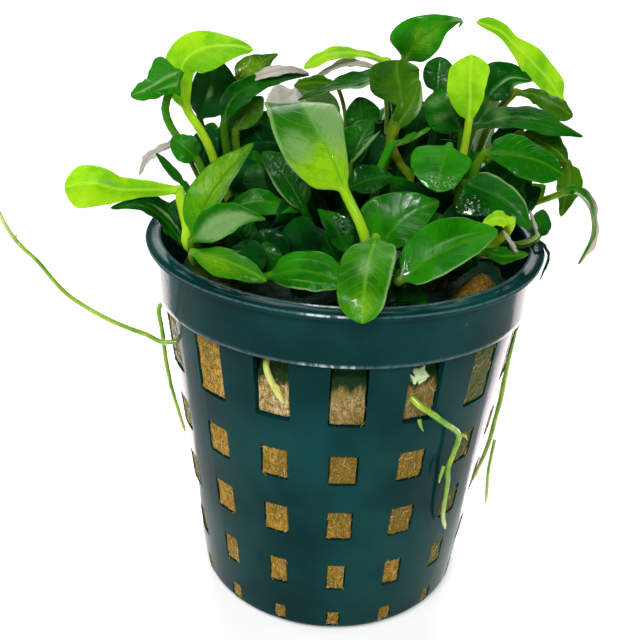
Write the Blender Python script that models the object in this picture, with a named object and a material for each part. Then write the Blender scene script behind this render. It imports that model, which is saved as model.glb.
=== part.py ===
"""A small potted anubias: net pot, rockwool plug, rhizomes, leaves and roots.

Units are metres with +Z up. The origin is the middle of the pot's flat
underside, and -Y is the front. Every leaf is one grown piece: its stalk and
its blade are lofted together, from a foot on a rhizome to the leaf's tip.
"""

import math
from collections import namedtuple

import bmesh
import bpy
from mathutils import Vector

MM = 0.001
CLEARANCE = 0.3

# Net pot, in millimetres
POT_HEIGHT = 55.0
RIM_RADIUS = 27.5
RIM_INNER_RADIUS = 25.3
LIP_THICKNESS = 0.9
COLLAR_TOP_RADIUS = 26.7
COLLAR_FOOT_RADIUS = 26.3
COLLAR_FOOT_Z = 47.4
BODY_TOP_RADIUS = 25.5
BODY_FOOT_RADIUS = 19.5
FLAT_UNDERSIDE_RADIUS = 17.4
UNDERSIDE_CORNER = (18.9, 0.45)
FLOOR_CORNER_INSET = 1.2
WALL = 1.1
FLOOR = 1.2
COLUMNS = 16
FIRST_COLUMN_TURN = math.radians(3.5)
# Each row of windows: lower edge, upper edge, half width
WINDOW_ROWS = (
    (1.4, 4.2, 0.95),
    (8.8, 13.6, 1.33),
    (18.5, 23.5, 1.78),
    (28.2, 33.2, 1.95),
    (37.9, 46.9, 2.38),
)
SLOT_INNER_RADIUS = 7.0
SLOT_OUTER_RADIUS = 14.0
SLOT_HALF_WIDTH = 1.3

# Rockwool plug, in millimetres
PLUG_SIDES = 32
PLUG_GAP = 0.45
PLUG_SIDE_HEIGHTS = (14.0, 28.0, 38.0)
PLUG_TOP_RADII = (23.6, 21.0, 17.0, 12.0, 6.0)
PLUG_TOP_RADIUS = 24.0
PLUG_MIDDLE_Z = 48.6
PLUG_EDGE_DROP = 6.0
LUMP_PLACE = (17.5, -14.5)
LUMP_SPREAD = 4.2
LUMP_HEIGHT = 9.5

# Rhizomes: points along each, in millimetres
RHIZOME_RADIUS = 1.5
RHIZOMES = {
    "left": ((-15.5, -14.0, 50.0), (-14.5, -5.0, 51.2), (-14.0, 4.0, 51.4), (-13.0, 13.0, 50.8)),
    "centre": ((1.0, -15.0, 50.6), (0.0, -5.0, 51.6), (1.0, 4.0, 51.8), (0.5, 13.5, 51.0)),
    "right": ((12.0, -10.0, 51.8), (14.0, -3.0, 51.6), (14.5, 5.0, 51.4), (13.0, 13.0, 50.8)),
}

# Leaves
STALK_RADIUS = 0.55
STALK_PULL = 0.35
BLADE_THICKNESS = 0.55
STALK_STEPS = (0.0, 0.35, 0.7, 1.0)
BLADE_STEPS = (0.08, 0.26, 0.5, 0.74, 0.92, 1.0)
# Eight points round a blade: share of the half width, then of the half thickness
BLADE_SECTION = ((-1, 0), (-0.5, 1), (0, 1.2), (0.5, 1), (1, 0), (0.5, -1), (0, -1.2), (-0.5, -1))

TONES = {
    "lime": (0.42, 0.72, 0.06),
    "fresh": (0.20, 0.50, 0.03),
    "mid": (0.06, 0.28, 0.02),
    "deep": (0.02, 0.13, 0.015),
    "dark": (0.008, 0.06, 0.02),
    "olive": (0.10, 0.20, 0.01),
    "pale": (0.45, 0.42, 0.36),
}

# heel is where the stalk meets the blade, and tip is its far point, in
# millimetres. face is where the upper side looks: degrees round from the
# front towards +X, then degrees up. arch and sweep bow the midrib towards
# the face and to the right of it. fold lifts both halves, in degrees.
# foot is a rhizome, the place along it from 0 to 1, and degrees round it.
Leaf = namedtuple(
    "Leaf", "name tone heel tip width face arch sweep fold foot belly", defaults=(0.4,)
)

LEAVES = (
    Leaf("lime_top_left", "lime", (-23, 5, 69.8), (-13.5, 4, 77.8), 8.8,
         (-10, 20), 0, -5.2, -15, ("left", 0.76, -60), 0.34),
    Leaf("folded_far_left", "mid", (-24.6, 2, 74.6), (-29.5, -2, 72.6), 6,
         (-15, 45), 0.5, 0, -15, ("left", 0.62, -85), 0.32),
    Leaf("dark_round_left", "dark", (-22, 10, 67.5), (-18.5, 12, 75.5), 8,
         (0, 20), 0, 0, 10, ("left", 0.86, -60)),
    Leaf("arching_left", "deep", (-17.5, 2, 68.5), (-6, 8, 74.5), 6.5,
         (-10, 50), 2.5, -1.5, 10, ("left", 0.5, 0)),
    Leaf("olive_back_left", "olive", (-15.5, 12, 72.5), (-11, 14, 76), 4.5,
         (0, 30), 0.5, 0, 10, ("left", 0.9, 10)),
    Leaf("grey_sheen", "pale", (-7.8, 3, 73.3), (-11, 0.8, 70.3), 4.5,
         (10, 40), 0.5, 0, 10, ("centre", 0.62, -60)),
    Leaf("pale_side_left", "pale", (-24.5, 2, 66), (-28.5, -1, 62), 4,
         (-30, 70), 1.0, 0, 10, ("left", 0.56, -60)),
    Leaf("small_clump_left", "mid", (-20.5, -1, 64.5), (-24, 0, 67), 4,
         (0, 40), 0.5, 0, 10, ("left", 0.46, -60)),
    Leaf("lime_far_left", "lime", (-22, -8, 62.5), (-35.5, -12, 64), 6,
         (0, 35), 0, -0.5, 15, ("left", 0.26, -60), 0.68),
    Leaf("dark_under_left", "deep", (-21.5, -8, 57), (-30, -12, 61), 5,
         (0, 55), 0.8, 0, 10, ("left", 0.34, -60)),
    Leaf("green_left_upright", "mid", (-19, -13, 58), (-12, -9, 68.5), 6.5,
         (0, 30), 0, 0, 20, ("left", 0.16, -60)),
    Leaf("sheen_left_front", "mid", (-18.5, -16, 58.5), (-10, -17, 62.5), 6.5,
         (0, 50), 0.8, 0, 12, ("left", 0.08, -60)),
    Leaf("green_behind_sheen", "mid", (-15.5, -9, 61), (-6.1, -8, 60.4), 5,
         (0, 45), 1, 0, 10, ("left", 0.22, 20)),
    Leaf("ribbed_rim_left", "fresh", (-18, -17, 57), (-9, -22, 57.5), 5,
         (0, 55), 0.5, 0, 10, ("left", 0.0, -50)),
    Leaf("striped_front", "mid", (-8.5, -19, 56.5), (0.5, -24, 57.5), 5.5,
         (0, 45), 0.5, 0, 8, ("left", 0.04, 70)),
    Leaf("big_pale_centre", "fresh", (-0.5, -16, 66), (-6.5, -7, 74.5), 9,
         (5, 30), 1.5, 0, 12, ("centre", 0.08, 60), 0.55),
    Leaf("front_drooping", "fresh", (3.5, -21, 61), (2.5, -30.5, 55.5), 6.5,
         (0, 60), 1.8, 0, 10, ("centre", 0.0, 10), 0.55),
    Leaf("broad_right_centre", "mid", (3.5, -12, 59), (11.5, -11, 64), 7.5,
         (0, 30), 0.5, 0, 10, ("centre", 0.2, 60)),
    Leaf("dark_by_petiole", "deep", (0.5, -15, 57.5), (-3.5, -16, 63), 4,
         (0, 35), 0.3, 0, 10, ("centre", 0.1, -60)),
    Leaf("dark_behind_big", "deep", (-1.3, -3.6, 62), (4.3, 0.6, 72.4), 7.6,
         (0, 30), 0.5, 0, 10, ("centre", 0.38, 0)),
    Leaf("dark_edge_left_centre", "deep", (-3, -9, 60), (-12, -3, 70), 7,
         (0, 30), 0.5, 0, 10, ("centre", 0.22, -60)),
    Leaf("lime_top_centre", "lime", (4.5, 8, 76.5), (-7, 4, 76), 6,
         (0, 75), 1.5, 0, 10, ("centre", 0.82, 60)),
    Leaf("dark_top_centre", "deep", (4, 5, 74.5), (-6.6, 0.9, 72.5), 5,
         (0, 70), 0.6, 0, 10, ("centre", 0.7, 60)),
    Leaf("olive_upright_centre", "olive", (6, 0, 73), (6, 1, 79), 8,
         (-10, 10), 0, 0, 10, ("centre", 0.54, 60)),
    Leaf("green_top", "mid", (7, 9, 76.5), (13.5, 6, 83), 7.4,
         (0, 15), 0, -1, 10, ("centre", 0.97, 60)),
    Leaf("small_upright_centre", "olive", (6.5, -4.5, 71), (9.5, -3, 75), 3,
         (10, 30), 0, 0, 10, ("centre", 0.42, 60)),
    Leaf("blue_sheen", "deep", (15, -0.6, 69), (9.5, 2.4, 74.5), 5.5,
         (0, 40), 0.3, 0, 10, ("right", 0.45, -30)),
    Leaf("thin_crescent", "mid", (5.5, -6.5, 68), (10, -8, 71), 4,
         (-20, 80), 0.5, 0, 10, ("centre", 0.28, 60)),
    Leaf("sparkly_back", "deep", (12.5, 4, 74), (12.5, 6, 78.5), 4,
         (0, 40), 0, 0, 10, ("right", 0.65, -60)),
    Leaf("lime_spoon", "lime", (15.5, -3, 72.5), (14, -5, 81), 5.6,
         (5, 10), 0, 0, 8, ("right", 0.38, 0), 0.58),
    Leaf("lime_top_right", "lime", (29.3, 9.8, 71.3), (15.5, 3.6, 83.4), 5.5,
         (15, 30), 0, 1.8, 8, ("right", 0.94, 60), 0.36),
    Leaf("dark_back_right", "deep", (20.5, 4, 73), (18, 7, 78), 5.5,
         (0, 25), 0, 0, 10, ("right", 0.75, 10)),
    Leaf("olive_arching_right", "olive", (22, 5.5, 74), (30, 2.5, 72.5), 4.5,
         (0, 65), 1.2, 0, 10, ("right", 0.82, 60)),
    Leaf("long_dark_right", "deep", (16.5, -0.8, 69.1), (30.5, -0.8, 70.6), 5.7,
         (0, 60), 2, 0, 8, ("right", 0.52, 60)),
    Leaf("round_sparkle", "mid", (12, -7, 69.5), (11, -13, 65.5), 7.5,
         (0, 50), 1.5, 0, 8, ("right", 0.22, -60)),
    Leaf("green_right", "mid", (17, -5.8, 66.8), (28, -7.3, 66.3), 6.3,
         (0, 50), 0.8, 0, 10, ("right", 0.34, 60)),
    Leaf("dark_drooping_right", "deep", (15.5, -9, 65.5), (23.5, -14, 61), 8,
         (0, 45), 0.8, 0, 8, ("right", 0.2, 60)),
    Leaf("olive_behind_right", "olive", (22.5, 1, 69.5), (28.5, 0, 66), 5,
         (10, 50), 0.5, 0, 10, ("right", 0.6, 20)),
    Leaf("olive_far_right", "olive", (29.5, 3, 65.5), (29.5, 1, 58), 4.5,
         (10, 20), 0.5, 0, 10, ("right", 0.68, 60)),
    Leaf("drooping_far_right", "mid", (29.5, -2, 63), (32, -3, 53), 5,
         (70, 30), 2, 0, 15, ("right", 0.58, 60)),
    Leaf("curled_rim_right", "deep", (25, -8, 58.5), (25.5, -7, 62), 3,
         (0, 20), 0, 0, 10, ("right", 0.28, 60)),
    Leaf("tiny_lime", "lime", (20, -16.5, 61.5), (16.5, -17.5, 62), 2,
         (0, 50), 0, 0, 10, ("right", 0.14, 75)),
    Leaf("small_brown_tip", "mid", (17.2, -14.8, 57.6), (23, -15.5, 57.8), 2.4,
         (0, 60), 0, 0, 10, ("right", 0.0, 20)),
    Leaf("big_front_right", "mid", (7, -22, 57), (18, -19, 63), 7,
         (-5, 50), 0.5, 0, 10, ("right", 0.02, -60)),
    Leaf("back_left", "mid", (-14, 13, 63), (-19, 21, 69), 8,
         (170, 35), 1, 0, 10, ("left", 0.98, 0)),
    Leaf("back_middle_left", "deep", (-5, 11, 64), (-8, 17, 72), 9,
         (180, 30), 1, 0, 10, ("centre", 0.9, -50)),
    Leaf("back_middle_right", "mid", (5, 15, 62), (6, 23, 68), 8,
         (180, 40), 1, 0, 10, ("centre", 0.98, 10)),
    Leaf("back_right", "deep", (17, 13, 62), (22, 20, 70), 9,
         (170, 30), 1, 0, 10, ("right", 0.98, 0)),
)

# Roots: radius at the foot and at the tip, then points along each, in millimetres
TUBE_STEP = 2.6
ROOTS = {
    "root_long_left": (0.34, 0.24, (
        (-21.7, -10.6, 41.7), (-24.0, -11.0, 41.7), (-26.2, -11.3, 42.9), (-30.7, -12.0, 45.1),
        (-35.6, -12.5, 48.3), (-39.1, -13.0, 53.0), (-42.3, -13.5, 57.1), (-44.0, -14.2, 62.0))),
    "root_hanging_left": (0.34, 0.26, (
        (-24.0, -1.5, 43.5), (-26.2, -1.0, 42.2), (-25.9, -1.5, 39.0), (-25.0, -2.2, 32.5),
        (-24.3, -0.5, 26.2), (-23.2, 1.0, 19.8))),
    "root_in_window": (0.4, 0.45, (
        (-8.6, -21.8, 46.6), (-8.8, -22.9, 45.4), (-8.0, -23.3, 43.2), (-6.4, -23.4, 40.4))),
    "root_front_right": (0.42, 0.28, (
        (9.3, -22.0, 41.6), (10.5, -22.8, 40.8), (11.8, -22.9, 40.0), (13.8, -22.3, 38.3),
        (16.1, -20.0, 35.2), (15.9, -19.1, 31.9), (15.5, -18.8, 29.3), (15.7, -18.0, 25.5),
        (15.7, -17.2, 20.3), (16.4, -16.0, 17.0))),
    "root_front_branch": (0.24, 0.2, (
        (14.75, -19.4, 29.8), (14.5, -19.4, 28.5), (14.4, -19.2, 26.9))),
    "root_back_right": (0.42, 0.3, (
        (24.0, 1.5, 43.5), (26.2, 2.6, 41.8), (25.8, 2.6, 38.9), (25.2, 1.6, 33.5),
        (24.6, 0.4, 28.2), (23.8, 0.5, 21.2), (23.1, 1.3, 16.8), (22.4, 2.5, 12.8))),
    "root_back_branch": (0.26, 0.22, (
        (24.6, -0.1, 22.2), (24.2, -0.5, 16.6), (24.4, -1.0, 11.0))),
}


def clear_scene():
    for item in list(bpy.data.objects):
        bpy.data.objects.remove(item, do_unlink=True)


def material(name, color, roughness):
    made = bpy.data.materials.new(name)
    made.use_nodes = True
    shader = made.node_tree.nodes["Principled BSDF"]
    shader.inputs["Base Color"].default_value = (*color, 1.0)
    shader.inputs["Roughness"].default_value = roughness
    shader.inputs["Metallic"].default_value = 0.0
    return made


def add_object(name, mesh, finish):
    item = bpy.data.objects.new(name, mesh)
    mesh.materials.append(finish)
    bpy.context.scene.collection.objects.link(item)
    return item


def mesh_from(name, build):
    """Run a function that fills a bmesh in millimetres, and keep the result in metres."""
    shape = bmesh.new()
    build(shape)
    bmesh.ops.recalc_face_normals(shape, faces=shape.faces)
    bmesh.ops.scale(shape, vec=(MM, MM, MM), verts=shape.verts)
    mesh = bpy.data.meshes.new(name)
    shape.to_mesh(mesh)
    shape.free()
    mesh.shade_smooth()
    mesh.set_sharp_from_angle(angle=math.radians(40))
    return mesh


def wall_radius(z):
    """Outer radius of the pot's tapered wall at a height."""
    return BODY_FOOT_RADIUS + (BODY_TOP_RADIUS - BODY_FOOT_RADIUS) * z / COLLAR_FOOT_Z


def window_half_angle(z):
    """Half the angle that a column of windows takes up at a height."""
    heights = []
    angles = []
    for low, high, half in WINDOW_ROWS:
        for edge in (low, high):
            heights.append(edge)
            angles.append(half / wall_radius(edge))
    if z <= heights[0]:
        return angles[0]
    for i in range(1, len(heights)):
        if z <= heights[i]:
            share = (z - heights[i - 1]) / (heights[i] - heights[i - 1])
            return angles[i - 1] + share * (angles[i] - angles[i - 1])
    return angles[-1]


def pot_rings():
    """The pot's turned profile as (radius, height, kind), from the underside round to the floor."""
    outer = [
        (SLOT_INNER_RADIUS, 0.0, "slot"),
        (SLOT_OUTER_RADIUS, 0.0, "base"),
        (FLAT_UNDERSIDE_RADIUS, 0.0, "base"),
        (*UNDERSIDE_CORNER, "base"),
    ]
    inner = [
        (wall_radius(0) - WALL - FLOOR_CORNER_INSET, FLOOR, "base"),
        (SLOT_OUTER_RADIUS, FLOOR, "slot"),
        (SLOT_INNER_RADIUS, FLOOR, "base"),
    ]
    inner_wall = []
    for row, (low, high, half) in enumerate(WINDOW_ROWS):
        outer.append((wall_radius(low), low, f"window_{row}"))
        outer.append((wall_radius(high), high, "bar"))
        inner_wall.append((wall_radius(high) - WALL, high, f"window_{row}"))
        inner_wall.append((wall_radius(low) - WALL, max(low, FLOOR + 0.4), "bar"))
    lip_foot_z = POT_HEIGHT - LIP_THICKNESS
    collar = [
        (BODY_TOP_RADIUS, COLLAR_FOOT_Z, "bar"),
        (COLLAR_FOOT_RADIUS, COLLAR_FOOT_Z, "bar"),
        (COLLAR_TOP_RADIUS, lip_foot_z, "bar"),
        (RIM_RADIUS - 0.1, lip_foot_z, "bar"),
        (RIM_RADIUS, POT_HEIGHT - 0.3, "bar"),
        (RIM_RADIUS - 0.7, POT_HEIGHT + 0.05, "bar"),
        (RIM_INNER_RADIUS + 0.5, POT_HEIGHT + 0.2, "bar"),
        (RIM_INNER_RADIUS, POT_HEIGHT - 0.1, "bar"),
        (RIM_INNER_RADIUS - 0.2, COLLAR_FOOT_Z + 1.6, "bar"),
    ]
    inner_wall.sort(key=lambda ring: -ring[1])
    return outer + collar + inner_wall + inner


def pot_shape(shape):
    rings = pot_rings()
    pitch = math.tau / COLUMNS
    grid = []
    for radius, z, kind in rings:
        half = window_half_angle(z)
        if z <= FLOOR:
            half = min(SLOT_HALF_WIDTH / SLOT_INNER_RADIUS, window_half_angle(0))
        row = []
        for column in range(COLUMNS):
            middle = FIRST_COLUMN_TURN + column * pitch
            for angle in (middle - half, middle + half, middle + pitch / 2):
                row.append(shape.verts.new((radius * math.sin(angle), -radius * math.cos(angle), z)))
        grid.append(row)
    around = len(grid[0])
    openings = {}
    for i in range(len(grid) - 1):
        kind = rings[i][2]
        for j in range(around):
            column, part = divmod(j, 3)
            window = kind.startswith("window") and part == 0
            slot = kind == "slot" and part == 0 and column % 2 == 0
            k = (j + 1) % around
            corners = (grid[i][j], grid[i][k], grid[i + 1][k], grid[i + 1][j])
            if window or slot:
                openings.setdefault((column, kind), []).append(corners)
            else:
                shape.faces.new(corners)
    for outside, inside in openings.values():
        # the inside is listed from its top down, so it is turned over to match the outside
        matched = (inside[3], inside[2], inside[1], inside[0])
        for k in range(4):
            n = (k + 1) % 4
            shape.faces.new((outside[k], outside[n], matched[n], matched[k]))
    shape.faces.new(grid[0])
    shape.faces.new(grid[-1])


def plug_top(x, y):
    """Height of the rockwool's top: lower towards the front wall, with one raised lump near the rim."""
    reach = math.hypot(x, y) / PLUG_TOP_RADIUS
    front = 0.5 - 0.5 * y / PLUG_TOP_RADIUS
    lump = math.hypot(x - LUMP_PLACE[0], y - LUMP_PLACE[1]) / LUMP_SPREAD
    return PLUG_MIDDLE_Z - PLUG_EDGE_DROP * front * reach ** 4 + LUMP_HEIGHT * math.exp(-lump * lump)


def plug_shape(shape):
    rings = []
    for z in (FLOOR + CLEARANCE, *PLUG_SIDE_HEIGHTS):
        radius = wall_radius(z) - WALL - PLUG_GAP
        if z < 2:
            radius -= FLOOR_CORNER_INSET
        rings.append((radius, z))
    for radius in PLUG_TOP_RADII:
        rings.append((radius, None))
    grid = []
    for radius, z in rings:
        row = []
        for j in range(PLUG_SIDES):
            angle = math.tau * j / PLUG_SIDES
            x = radius * math.cos(angle)
            y = radius * math.sin(angle)
            row.append(shape.verts.new((x, y, plug_top(x, y) if z is None else z)))
        grid.append(row)
    for i in range(len(grid) - 1):
        for j in range(PLUG_SIDES):
            k = (j + 1) % PLUG_SIDES
            shape.faces.new((grid[i][j], grid[i][k], grid[i + 1][k], grid[i + 1][j]))
    shape.faces.new(grid[0])
    crown = shape.verts.new((0, 0, plug_top(0, 0)))
    for j in range(PLUG_SIDES):
        shape.faces.new((grid[-1][j], grid[-1][(j + 1) % PLUG_SIDES], crown))


def smooth_route(points, spacing):
    """A Catmull-Rom curve through the given points, read at even steps."""
    knots = [Vector(p) for p in points]
    knots = [2 * knots[0] - knots[1]] + knots + [2 * knots[-1] - knots[-2]]
    route = []
    for i in range(1, len(knots) - 2):
        steps = max(2, round((knots[i + 1] - knots[i]).length / spacing))
        for s in range(steps):
            t = s / steps
            a, b, c, d = knots[i - 1], knots[i], knots[i + 1], knots[i + 2]
            route.append(0.5 * ((2 * b) + (c - a) * t + (2 * a - 5 * b + 4 * c - d) * t * t
                                + (3 * b - a - 3 * c + d) * t ** 3))
    route.append(knots[-2])
    return route


def tube_object(name, route, radii, resolution, finish):
    curve = bpy.data.curves.new(name, "CURVE")
    curve.dimensions = "3D"
    curve.bevel_depth = MM
    curve.bevel_resolution = resolution
    curve.use_fill_caps = True
    spline = curve.splines.new("POLY")
    spline.points.add(len(route) - 1)
    for point, place, radius in zip(spline.points, route, radii):
        point.co = (*(place * MM), 1.0)
        point.radius = radius
    item = bpy.data.objects.new(name, curve)
    curve.materials.append(finish)
    bpy.context.scene.collection.objects.link(item)
    return item


def add_root(name, finish):
    foot, tip, points = ROOTS[name]
    route = smooth_route(points, TUBE_STEP)
    last = len(route) - 1
    radii = [foot + (tip - foot) * i / last for i in range(last + 1)]
    tube_object(name, route, radii, 1, finish)


def add_rhizome(key, finish):
    route = smooth_route(RHIZOMES[key], TUBE_STEP)
    last = len(route) - 1
    radii = []
    for i in range(last + 1):
        end = min(i, last - i) / last
        knuckle = 1.0 if i % 2 else 0.9
        radii.append(RHIZOME_RADIUS * knuckle * min(1.0, 0.55 + 4 * end))
    tube_object("rhizome_" + key, route, radii, 2, finish)


def rhizome_place(key, place):
    """Point and direction at a place from 0 to 1 along a rhizome."""
    route = smooth_route(RHIZOMES[key], 0.5)
    at = place * (len(route) - 1)
    i = min(int(at), len(route) - 2)
    along = (route[i + 1] - route[i]).normalized()
    return route[i].lerp(route[i + 1], at - i), along


def leaf_frame(leaf):
    """The blade's length, right and upward directions, and its length."""
    heel = Vector(leaf.heel)
    chord = Vector(leaf.tip) - heel
    length = chord.length
    chord.normalize()
    around, up = (math.radians(angle) for angle in leaf.face)
    face = Vector((math.sin(around) * math.cos(up), -math.cos(around) * math.cos(up), math.sin(up)))
    face = (face - face.dot(chord) * chord).normalized()
    return chord, chord.cross(face), face, length


def midrib_point(leaf, t):
    """Point on the midrib, bowed towards the face and to the side."""
    chord, right, face, length = leaf_frame(leaf)
    bow = 4 * t * (1 - t)
    return Vector(leaf.heel) + chord * length * t + face * leaf.arch * bow + right * leaf.sweep * bow


def half_width(leaf, t):
    """Half the blade's width at t, widest at the leaf's belly."""
    rise = 1.25 * leaf.belly
    fall = 1.25 - rise
    peak = leaf.belly ** rise * (1 - leaf.belly) ** fall
    t = min(max(t, 0.001), 0.985)
    return max(0.22, 0.5 * leaf.width * t ** rise * (1 - t) ** fall / peak)


def blade_ring(leaf, t):
    """Eight points round the blade: left edge, over the top to the right edge, and back below."""
    chord, right, face, length = leaf_frame(leaf)
    step = 0.02
    along = (midrib_point(leaf, t + step) - midrib_point(leaf, t - step)).normalized()
    up = (face - face.dot(along) * along).normalized()
    side = along.cross(up)
    middle = midrib_point(leaf, t)
    half = half_width(leaf, t)
    lift = math.radians(leaf.fold)
    thick = 0.5 * BLADE_THICKNESS * (1.0 if t < 0.9 else 0.8)
    ring = []
    for across, level in BLADE_SECTION:
        out = across * half * math.cos(lift)
        rise = abs(across) * half * math.sin(lift)
        ring.append(middle + side * out + up * (rise + level * thick))
    return ring


def stalk_rings(leaf):
    """Round sections from the foot on the rhizome up to the blade's heel."""
    key, place, turn = leaf.foot
    centre, along = rhizome_place(key, place)
    turn = math.radians(turn)
    right = along.cross(Vector((0, 0, 1))).normalized()
    outward = (Vector((0, 0, 1)) * math.cos(turn) + right * math.sin(turn)).normalized()
    foot = centre + outward * (RHIZOME_RADIUS + 2 * CLEARANCE)
    heel = Vector(leaf.heel)
    reach = (heel - foot).length
    blade_start = (midrib_point(leaf, 0.04) - heel).normalized()
    arrive = (0.35 * blade_start + 0.65 * (heel - foot).normalized()).normalized()
    leave = (0.5 * outward + Vector((0, 0, 0.7))).normalized()
    a, b, c, d = foot, foot + leave * reach * STALK_PULL, heel - arrive * reach * STALK_PULL, heel

    def point(s):
        r = 1 - s
        return a * r ** 3 + b * 3 * r * r * s + c * 3 * r * s * s + d * s ** 3

    def direction(s):
        r = 1 - s
        return ((b - a) * r * r + (c - b) * 2 * r * s + (d - c) * s * s).normalized()

    chord, side, face, length = leaf_frame(leaf)
    up = face
    rings = []
    for s in reversed(STALK_STEPS):
        tangent = direction(s)
        up = (up - up.dot(tangent) * tangent).normalized()
        side = tangent.cross(up)
        ring = []
        for k in range(8):
            angle = math.pi - k * math.pi / 4
            ring.append(point(s) + (side * math.cos(angle) + up * math.sin(angle)) * STALK_RADIUS)
        rings.append(ring)
    rings.reverse()
    return rings


def leaf_shape(leaf):
    def build(shape):
        rings = stalk_rings(leaf) + [blade_ring(leaf, t) for t in BLADE_STEPS]
        rows = [[shape.verts.new(p) for p in ring] for ring in rings]
        for low, high in zip(rows, rows[1:]):
            for k in range(8):
                n = (k + 1) % 8
                shape.faces.new((low[k], low[n], high[n], high[k]))
        shape.faces.new(rows[0])
        shape.faces.new(rows[-1])
    return build


def main():
    clear_scene()
    pot_plastic = material("pot_plastic", (0.006, 0.045, 0.042), 0.25)
    rockwool = material("rockwool", (0.30, 0.16, 0.03), 0.9)
    rhizome = material("rhizome", (0.30, 0.35, 0.03), 0.5)
    root = material("root", (0.22, 0.42, 0.02), 0.45)
    tones = {tone: material("leaf_" + tone, color, 0.25) for tone, color in TONES.items()}
    add_object("net_pot", mesh_from("net_pot", pot_shape), pot_plastic)
    add_object("rockwool", mesh_from("rockwool", plug_shape), rockwool)
    for key in RHIZOMES:
        add_rhizome(key, rhizome)
    for name in ROOTS:
        add_root(name, root)
    for leaf in LEAVES:
        add_object("leaf_" + leaf.name, mesh_from(leaf.name, leaf_shape(leaf)), tones[leaf.tone])


main()
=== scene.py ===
"""Looks for the potted petite anubias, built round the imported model.

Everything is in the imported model's frame, with -Y at the front. Shapes are
given in millimetres and made in metres. Places, distances and noise scales
inside materials and on the stage are in metres.
"""

import math
from collections import namedtuple

import bpy
import numpy as np
from mathutils import Matrix, Vector


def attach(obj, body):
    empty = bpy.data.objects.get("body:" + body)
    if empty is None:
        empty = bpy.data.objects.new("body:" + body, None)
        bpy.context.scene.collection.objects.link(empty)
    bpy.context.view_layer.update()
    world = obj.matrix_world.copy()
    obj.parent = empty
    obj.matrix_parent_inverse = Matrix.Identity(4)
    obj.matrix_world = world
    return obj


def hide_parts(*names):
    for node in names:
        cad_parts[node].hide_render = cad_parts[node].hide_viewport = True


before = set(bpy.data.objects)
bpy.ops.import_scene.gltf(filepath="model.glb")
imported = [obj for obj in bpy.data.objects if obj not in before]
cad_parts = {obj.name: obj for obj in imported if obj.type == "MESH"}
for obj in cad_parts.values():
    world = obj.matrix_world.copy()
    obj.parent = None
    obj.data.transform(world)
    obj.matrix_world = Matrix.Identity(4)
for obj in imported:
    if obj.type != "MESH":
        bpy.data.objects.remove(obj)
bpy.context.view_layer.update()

MM = 0.001
RNG = np.random.default_rng(11)
NOISE_CELLS = 32
NOISE_SHIFT = 57.3

# Net pot
COLLAR_FOOT_Z = 47.4
BODY_TOP_RADIUS = 25.5
BODY_FOOT_RADIUS = 19.5
WALL = 1.1
FLOOR = 1.2
COLUMNS = 16
PITCH = math.tau / COLUMNS
FIRST_COLUMN_TURN = math.radians(3.5)
# Each row of windows: lower edge, upper edge, half width
WINDOW_ROWS = ((1.4, 4.2, 0.95), (8.8, 13.6, 1.33), (18.5, 23.5, 1.78), (28.2, 33.2, 1.95),
               (37.9, 46.9, 2.38))
SLOT_INNER_RADIUS = 7.0
SLOT_OUTER_RADIUS = 14.0
# The pot's outline as (radius, height), and "line" where a pale painted highlight runs along its edge
FOOT_CURVE = ((17.4, 0), (18.2, 0.12), (18.9, 0.45), (19.35, 0.9))
FLOOR_CURVE = ((15.5, 1.2), (16.6, 1.2), (17.2, 1.25), (17.6, 1.4))
RIM_CURVE = ((25.5, 47.1), (26.05, 47.15), (26.28, 47.4, "line"), (26.36, 48.2), (26.62, 53.2),
             (26.72, 53.85), (27.1, 54.02), (27.42, 54.1), (27.5, 54.35), (27.48, 54.7, "line"),
             (27.3, 54.96), (26.9, 55.08), (26.3, 55.12), (25.85, 55.17, "line"),
             (25.5, 55.14, "line"), (25.32, 54.95), (25.25, 54.5), (25.16, 50.0), (24.9, 48.2))
# Points across a window, as shares of its width, and how many across the bar beside it
WINDOW_PARTS = (0.0, 0.09, 0.36, 0.64, 0.91)
BAR_PARTS = 8
# How far the next rings of points stay from a window's edges, at most and as a share of its
# height, and the height of the corner between floor and wall
WINDOW_INSET = 0.35
INSET_SHARE = 0.3
FLOOR_CORNER = 0.4
CORNER_PULL = 0.11
SOFT_EDGE = 0.12
POT_SHARP = 50
POT_DARK = (0.001, 0.023, 0.024)
POT_LIGHT = (0.003, 0.048, 0.045)
POT_MARK = (0.12, 0.2, 0.19)
# The pale painted highlight along the rim's edges, and the white painted glint on them at the front
POT_EDGE_HIGHLIGHT = (0.13, 0.22, 0.22)
POT_SHINE = (0.85, 0.9, 0.9)
# The painted edge highlights turn to a white painted glint only in the middle of the front. Here
# and below, each pair in metres says where a colour begins and where it has its full strength.
SHINE_LEFT, SHINE_RIGHT, SHINE_FRONT = (-0.0052, -0.003), (0.0035, 0.002), (-0.02, -0.024)

# Rockwool plug
PLUG_GAP = 0.45
PLUG_TOP_RADIUS = 24.0
PLUG_RIM_RADIUS = 23.7
PLUG_MIDDLE_Z = 48.6
PLUG_EDGE_DROP = 6.0
PLUG_FOOT_TAPER = 0.9
PLUG_AROUND = 288
PLUG_SIDE_TOP = 40.0
PLUG_SIDE_STEP = 0.42
PLUG_TOP_STEP = 0.45
LUMP_PLACE = (17.5, -14.5)
LUMP_SPREAD = 4.2
LUMP_HEIGHT = 9.5
LUMP_STRETCH = 1.5
LUMP_CENTRE = (0.0175, -0.0145, 0.054)
LUMP_REACH = (0.007, 0.0105)
# Dark growth and painted shade high in the front windows: its sides and its foot. On the plug's
# top, growth and painted shade: the radius that it stays within, and its foot.
SHADED_GROWTH_SIDES, SHADED_GROWTH_FOOT = (0.0155, 0.0125), (0.0425, 0.0441)
TOP_SHADED_GROWTH_RADIUS, TOP_SHADED_GROWTH_FOOT = (0.0237, 0.0232), (0.0405, 0.042)
# Pale, washed wool in the middle of the highest row of windows: foot, top and sides
WASHED_FOOT, WASHED_TOP, WASHED_SIDES = (0.0345, 0.0385), (0.047, 0.0455), (0.016, 0.012)
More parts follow.
